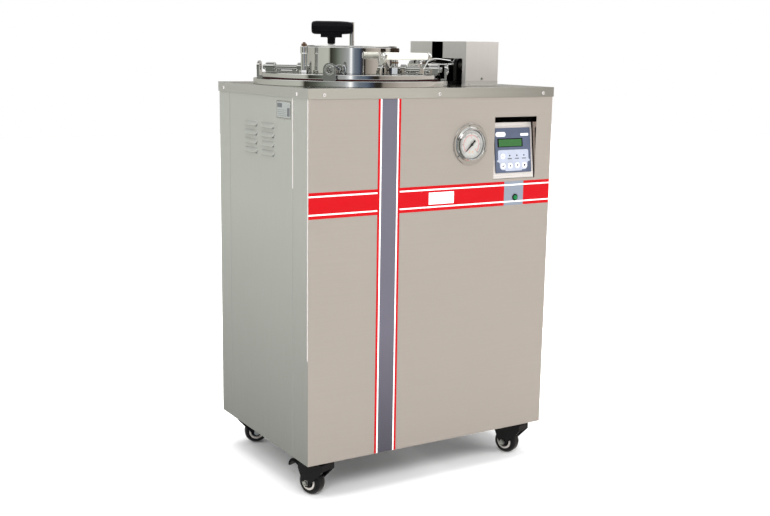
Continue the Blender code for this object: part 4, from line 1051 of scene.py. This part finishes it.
ARM = Matrix.Translation(HINGE)
ACROSS = Matrix.Rotation(radians(90), 4, "X")
ARM_FOOT = ARM_LOW.z - HINGE.z
arm = Piece("hinge_arm_casting", MIRROR, "lid", "polished_steel", ("hinge_arm",))
arm.plate(ARM @ Matrix.Translation((-0.096, 0, 0)), oblong(0.032, 0.040, 0.004), ARM_FOOT,
          ARM_FOOT + 0.021, 0.0025, 4)
arm.put(loft([(-0.108, 0.0090, ARM_FOOT, -0.0020), (-0.096, 0.0090, ARM_FOOT, 0.0038),
              (-0.084, 0.0090, ARM_FOOT, 0.0080), (-0.073, 0.0090, ARM_FOOT + 0.0112, 0.0112),
              (-0.062, 0.0090, -0.0015, 0.0130), (-0.051, 0.0090, -0.0037, 0.0133),
              (-0.040, 0.0090, -0.0060, 0.0130), (-0.029, 0.0090, -0.0082, 0.0118),
              (-0.018, 0.0090, -0.0100, 0.0105), (-0.006, 0.0090, -0.0100, 0.0100)]), ARM)
arm.turn(ARM @ ACROSS, mirrored([(0.0083, -0.0200), (0.0118, -0.0200), (0.0140, -0.0180)]),
         96, 0.0010, True)
for side in (-1, 1):
    arm.put(bar([(-0.086, side * 0.0148, -0.0045), (-0.002, side * 0.0148, -0.0045)], 0.005, 32),
            ARM)
arm.done()
glints = Piece("bearing_bushes", ZINC, "root", "polished_steel")
for side in (-1, 1):
    ring_face = facing((HINGE.x, side * 0.0385, HINGE.z), (0, side, 0))
    glints.turn(ring_face, [(0.0085, 0.0), (0.0125, 0.0), (0.0125, 0.0016), (0.0085, 0.0016)], 48,
                0.0004, True)
glints.done()

# ---- casters
CORNERS = ("front_left", "front_right", "rear_left", "rear_right")
TYRE = mirrored([(0.0172, -0.0122), (0.0182, -0.0140), (0.0234, -0.0140), (0.0270, -0.0072)])
WHEEL_DISH = mirrored([(0.0045, -0.0136), (0.0075, -0.0136), (0.0085, -0.0112), (0.0126, -0.0112)])
WHEEL_CENTRE = mirrored([(0.0124, -0.0118), (0.0134, -0.0138), (0.0168, -0.0138),
                         (0.0173, -0.0128)])
NUT_FACE = 0.0196                            # from the middle of the wheel
RIB_START, RIB_PITCH, RIB_HALF, PEDAL_BEND = 0.0200, 0.0040, 0.0105, 0.0270
for corner in CORNERS:
    roll = joint(f"roll_{corner}")
    swivel = joint(f"swivel_{corner}")
    brake = joint(f"brake_{corner}")
    wheel_frame = facing(roll["pos_m"], roll["axis"])
    wheel = f"wheel_{corner}"
    turned(f"tyre_{corner}", WHEEL_RUBBER, wheel_frame, TYRE, 72, 0.0022, True, body=wheel,
           slot="caster_tread", stands_for=(f"caster_{wheel}",), crease=50)
    turned(f"wheel_dish_{corner}", GLOSS_BLACK, wheel_frame, WHEEL_DISH, 72, 0.0006, True,
           body=wheel, slot="caster_tread")
    turned(f"wheel_centre_{corner}", WHEEL_GREY, wheel_frame, WHEEL_CENTRE, 72, 0.0006, True,
           body=wheel, slot="white_plastic")
    axle = Piece(f"axle_nuts_{corner}", ZINC, f"fork_{corner}", "polished_steel")
    for turn in (0, pi):
        nut_face = wheel_frame @ Matrix.Rotation(turn, 4, "X")
        hex_nut(axle, shifted(nut_face, w=NUT_FACE), 0.0100, 0.0045)
    axle.done()
    turned(f"raceway_{corner}", BLACK_PLASTIC,
           Matrix.Translation((*swivel["pos_m"][:2], PANEL_FOOT)),
           [(0.0150, -0.0052), (0.0206, -0.0052), (0.0212, -0.0038), (0.0212, -0.0018),
            (0.0202, -0.0005), (0.0150, -0.0005)], 72, 0.0005, True, body=f"fork_{corner}",
           slot="black_plastic")
    trail = Vector(roll["pos_m"]) - Vector(swivel["pos_m"])
    trail.z = 0
    trail.normalize()
    ribs = Piece(f"pedal_ribs_{corner}", BLACK_PLASTIC, f"pedal_{corner}", "black_plastic")
    across = Vector((-trail.y, trail.x, 0))
    for i in range(4):
        along = RIB_START + RIB_PITCH * i
        height = 0.0064 if along < PEDAL_BEND else 0.0062 - 0.25 * (along - PEDAL_BEND)
        spot = Vector(brake["pos_m"]) + trail * along + Vector((0, 0, height))
        ribs.put(bar([spot - across * RIB_HALF, spot + across * RIB_HALF], 0.0007, 8))
    ribs.done()

# ---- cable gland on the rear
GLAND_LOW, GLAND_HIGH, GLAND_MIDDLE = node_box("cable_gland")
GLAND = facing((GLAND_MIDDLE.x, REAR_Y, GLAND_MIDDLE.z), (0, 1, 0))
GLAND_R = (GLAND_HIGH.x - GLAND_LOW.x) / 2
GLAND_PROUD = GLAND_HIGH.y - REAR_Y
gland = Piece("cable_gland_body", GLOSS_BLACK, "root", "black_plastic", ("cable_gland",))
gland.turn(GLAND, [(0, -0.006), (GLAND_R * 0.7, -0.006), (GLAND_R * 0.7, 0.0004),
           (GLAND_R, 0.0004), (GLAND_R, 0.0030), (GLAND_R * 0.8, 0.0034),
           (GLAND_R * 0.72, GLAND_PROUD), (GLAND_R * 0.42, GLAND_PROUD),
           (GLAND_R * 0.38, GLAND_PROUD * 0.5), (0, GLAND_PROUD * 0.5)], 64, 0.0006)
for i in range(12):
    a = tau * i / 12
    gland.put(bar([polar(GLAND_R * 0.84, a, 0.0030),
                   polar(GLAND_R * 0.73, a, GLAND_PROUD - 0.0008)], 0.0010, 8), GLAND)
gland.done()


# ---- CAD nodes that stay
def smooth_by_angle():
    """Geometry node group that keeps edges sharper than its angle creased."""
    group = bpy.data.node_groups.new("smooth_by_angle", "GeometryNodeTree")
    group.interface.new_socket("Geometry", in_out="INPUT", socket_type="NodeSocketGeometry")
    group.interface.new_socket("Geometry", in_out="OUTPUT", socket_type="NodeSocketGeometry")
    made = {kind: group.nodes.new(kind) for kind in
            ("NodeGroupInput", "NodeGroupOutput", "GeometryNodeInputMeshEdgeAngle",
             "FunctionNodeCompare")}
    faces, edges = (group.nodes.new("GeometryNodeSetShadeSmooth") for _ in range(2))
    edges.domain = "EDGE"
    compare = made["FunctionNodeCompare"]
    compare.data_type, compare.operation = "FLOAT", "LESS_EQUAL"
    compare.inputs["B"].default_value = radians(SHARP_ANGLE)
    link = group.links.new
    link(made["GeometryNodeInputMeshEdgeAngle"].outputs["Unsigned Angle"], compare.inputs["A"])
    link(made["NodeGroupInput"].outputs[0], faces.inputs["Geometry"])
    link(faces.outputs["Geometry"], edges.inputs["Geometry"])
    link(compare.outputs["Result"], edges.inputs["Shade Smooth"])
    link(edges.outputs["Geometry"], made["NodeGroupOutput"].inputs[0])
    return group


SMOOTHER = smooth_by_angle()
WELD_REACH = 0.00001
FLAT_WITHIN, ROUND_BEYOND = radians(1), radians(34)


def cover_face(face):
    """Lip at the sides 1, top 2, the rest 0. The three are one sheet; their different steels are
    painted light and shade.
    """
    return 1 if abs(face.normal.x) > 0.5 else 2 if face.normal.z > 0.5 else 0


def wrapped_face(face):
    """Folds at the controller's window 2, returns at the sides 1, front 0. All three are one
    sheet; the returns' side steel is painted reflection and shade, and the folds' bronze steel a
    painted reflection.
    """
    if abs(face.normal.x) < 0.5:
        return 0
    return 2 if abs(face.center.x) < RIGHT_X - 0.010 else 1


def housing_face(face):
    """Inside of the hinge housing 1, which takes the near-black painted shade, outside 0."""
    middle, margin = face.center, 0.0008
    outside = (middle.x < HOUSING_LOW.x + margin or middle.x > HOUSING_HIGH.x - margin
               or middle.z > HOUSING_HIGH.z - margin or abs(middle.y) > HOUSING_HIGH.y - margin)
    return 0 if outside else 1


FACE_CHOICE = {"top_cover": cover_face, "front_panel": wrapped_face,
               "hinge_housing": housing_face}


def dress(name, material, edge, *others, segments=2):
    """Give a CAD node its finish and round its edges, without touching its vertices."""
    node = frame["nodes"][name]
    node.data.materials.clear()
    node.data.materials.append(material)
    with bpy.context.temp_override(object=node, active_object=node):
        bpy.ops.mesh.customdata_custom_splitnormals_clear()
    if others:
        for other in others:
            node.data.materials.append(other)
        choose = FACE_CHOICE[name]
        for face in node.data.polygons:
            face.material_index = choose(face)
    weld = node.modifiers.new("weld", "WELD")
    weld.merge_threshold = WELD_REACH
    flat = node.modifiers.new("flatten", "DECIMATE")
    flat.decimate_type, flat.angle_limit = "DISSOLVE", FLAT_WITHIN
    if edge:
        bevel = node.modifiers.new("edges", "BEVEL")
        bevel.width, bevel.segments, bevel.limit_method = edge, segments, "ANGLE"
        bevel.angle_limit = ROUND_BEYOND
        bevel.harden_normals = False
    smooth = node.modifiers.new("smooth", "NODES")
    smooth.node_group = SMOOTHER
    node.modifiers.new("flat_faces", "WEIGHTED_NORMAL").keep_sharp = True


FINISHES = {
    "top_cover": (COVER_STEEL, 0.0007, LIP_STEEL, TOP_STEEL),
    "front_panel": (FRONT_STEEL, 0.0007, SIDE_STEEL, FOLD_STEEL),
    "left_panel": (SIDE_STEEL, 0.0003), "right_panel": (SIDE_STEEL, 0.0003),
    "rear_panel": (SIDE_STEEL, 0.0006), "cabinet_frame": (FRAME_PAINT, 0.0006),
    "vessel_shell": (INNER_STEEL, 0.0), "hinge_housing": (HOUSING_STEEL, 0.0006, PAINTED_SHADE_STEEL),
    "hinge_end_cover": (END_STEEL, 0.0005), "hinge_bracket": (PAINTED_SHADE_STEEL, 0.0006),
    "controller_bracket": (BRIGHT_STEEL, 0.0003), "lid_handle_bracket": (MIRROR, 0.0005),
    "hinge_shaft": (MIRROR, 0.0006), "cam_disc": (MIRROR, 0.0004),
}
for number in range(1, 5):
    FINISHES[f"lock_keeper_{number}"] = (GUIDE_STEEL, 0.0006)
    FINISHES[f"bolt_guide_{number}"] = (GUIDE_STEEL, 0.0006)
for corner in CORNERS:
    FINISHES[f"caster_fork_{corner}"] = (GLOSS_BLACK, 0.0007)
    FINISHES[f"brake_pedal_{corner}"] = (BLACK_PLASTIC, 0.0006)
for name, (material, edge, *others) in FINISHES.items():
    dress(name, material, edge, *others)

# ---- floor and light
FLOOR_HALF = 9.0
# The floor's glow is painted light, and its fade near the machine a painted shadow.
GLOW_REACH = 0.20                          # the floor glows fully this far from the machine
LEAST_GLOW, LEAST_ACROSS = 0.15, (-0.35, 0.05)    # under it: 0 on the left to this on the right
floor_mesh = bpy.data.meshes.new("floor")
sheet = bmesh.new()
bmesh.ops.create_grid(sheet, x_segments=1, y_segments=1, size=FLOOR_HALF)
sheet.to_mesh(floor_mesh)
sheet.free()
floor = bpy.data.objects.new("floor", floor_mesh)
bpy.context.scene.collection.objects.link(floor)
floor_look = Look("floor_paper", (0.93, 0.93, 0.93), 0.75)


def floor_glow_with_painted_shadow(look, footprint, reach):
    """Painted light and shadow: white light glows from the floor and fades under the machine,
    most of all on its left, which paints the machine's shadow there.
    """
    def vector(operation, source, other=None):
        made = look.node("ShaderNodeVectorMath", operation=operation)
        look.tree.links.new(source, made.inputs[0])
        if other:
            made.inputs[1].default_value = other
        return made.outputs

    beyond = vector("SUBTRACT", vector("ABSOLUTE", look.coordinates)["Vector"], footprint)
    outside = vector("MAXIMUM", beyond["Vector"], (0, 0, 0))
    distance = vector("LENGTH", outside["Vector"])["Value"]
    across = look.node("ShaderNodeSeparateXYZ", ("Vector", look.coordinates)).outputs["X"]
    product = look.node("ShaderNodeMath", ("Value", look.remap(across, 0.0, 1.0, *LEAST_ACROSS)),
                        operation="MULTIPLY")
    product.inputs[1].default_value = LEAST_GLOW
    fade = look.node("ShaderNodeMapRange", ("Value", distance), ("To Min", product.outputs[0]))
    fade.inputs["From Max"].default_value = reach
    look.set("Emission Color", (1, 1, 1, 1))
    look.tree.links.new(fade.outputs["Result"], look.shader.inputs["Emission Strength"])


floor_glow_with_painted_shadow(floor_look, (RIGHT_X, REAR_Y, 0), GLOW_REACH)
floor_look.shade(floor_look.noise(2.0, 2.0), 0.995, 1.005)
floor_mesh.materials.append(floor_look.material)
floor.visible_glossy = False

CAMERA_TURN = -119.8                       # heading from the machine to the camera, degrees
CEILING = (0.22, 0.27)                     # upward share of a direction where it takes over


def studio():
    """White studio whose walls show as light and dark panels in the polished steel."""
    world = bpy.data.worlds.new("studio")
    bpy.context.scene.world = world
    world.use_nodes = True
    tree = world.node_tree
    tree.nodes.clear()

    def add(kind, *links, **values):
        return add_node(tree, kind, *links, **values)

    def ramp(source, stops):
        made = add("ShaderNodeValToRGB", ("Fac", source))
        elements = made.color_ramp.elements
        for i, (place, colour) in enumerate(stops):
            stop = elements[i] if i < 2 else elements.new(place)
            stop.position, stop.color = place, (*colour, 1)
        return made.outputs["Color"]

    direction = add("ShaderNodeTexCoord").outputs["Generated"]
    from_camera = add("ShaderNodeMapping", ("Vector", direction), vector_type="TEXTURE",
                      Rotation=(0, 0, radians(CAMERA_TURN)))
    parts = add("ShaderNodeSeparateXYZ", ("Vector", from_camera.outputs["Vector"])).outputs
    heading = add("ShaderNodeMath", (0, parts["Y"]), (1, parts["X"]), operation="ARCTAN2")
    share = map_range(tree, heading.outputs[0], 0, 1, -pi, pi)
    stops = ((-180, (0.40, 0.39, 0.36)), (-62, (0.55, 0.56, 0.50)), (-58, (0.38, 0.38, 0.34)),
             (-55, (0.03, 0.03, 0.02)), (-42, (0.09, 0.10, 0.08)), (-30, (0.22, 0.24, 0.21)),
             (-18, (0.32, 0.33, 0.32)), (-8, (0.42, 0.43, 0.44)), (-4, (0.70, 0.72, 0.75)),
             (-1, (1.3, 1.3, 1.3)), (3, (0.36, 0.40, 0.46)), (8, (0.17, 0.20, 0.24)),
             (18, (0.11, 0.14, 0.19)), (23, (0.05, 0.06, 0.09)), (28, (0.03, 0.025, 0.02)),
             (34, (0.03, 0.025, 0.02)), (37, (0.26, 0.23, 0.20)), (60, (0.50, 0.45, 0.40)),
             (110, (0.60, 0.55, 0.50)), (150, (0.66, 0.64, 0.60)), (180, (0.40, 0.39, 0.36)))
    panels = ramp(share, [((degrees + 180) / 360, colour) for degrees, colour in stops])
    ceiling = map_range(tree, parts["Z"], 0.0, 1.0, *CEILING)
    heights = ((0.22, 0.12), (0.50, 0.07), (0.56, 1.40), (0.82, 1.40), (0.88, 0.30), (1.0, 0.40))
    overhead = ramp(parts["Z"], [(height, (level,) * 3) for height, level in heights])
    mix = add("ShaderNodeMix", data_type="RGBA")
    seen = add("ShaderNodeMix", data_type="RGBA")
    for target, socket, source in ((mix, "Factor", ceiling), (mix, "A", panels),
                                   (mix, "B", overhead), (seen, "A", mix.outputs["Result"])):
        tree.links.new(source, target.inputs[socket])
    seen.inputs["B"].default_value = (1, 1, 1, 1)
    tree.links.new(add("ShaderNodeLightPath").outputs["Is Camera Ray"], seen.inputs["Factor"])
    glow = add("ShaderNodeBackground", ("Color", seen.outputs["Result"]))
    add("ShaderNodeOutputWorld", ("Surface", glow.outputs["Background"]))


studio()


def softbox(name, place, target, size, power):
    data = bpy.data.lights.new(name, "AREA")
    data.shape, data.size, data.size_y = "RECTANGLE", *size
    data.energy = power
    lamp = bpy.data.objects.new(name, data)
    bpy.context.scene.collection.objects.link(lamp)
    lamp.location = place
    lamp.visible_glossy = False
    lamp.rotation_euler = (Vector(target) - Vector(place)).to_track_quat("-Z", "Y").to_euler()


softbox("key_light", (-1.6, -2.6, 2.6), (0, 0, 0.5), (1.6, 1.2), 61)
softbox("fill_light", (2.4, -2.2, 1.8), (0, 0, 0.4), (1.8, 1.4), 34)
softbox("side_light", (-3.0, 0.4, 1.8), (0, 0, 0.5), (1.8, 1.4), 25)
softbox("top_light", (0, 0.3, 3.2), (0, 0, 0), (2.6, 2.6), 80)
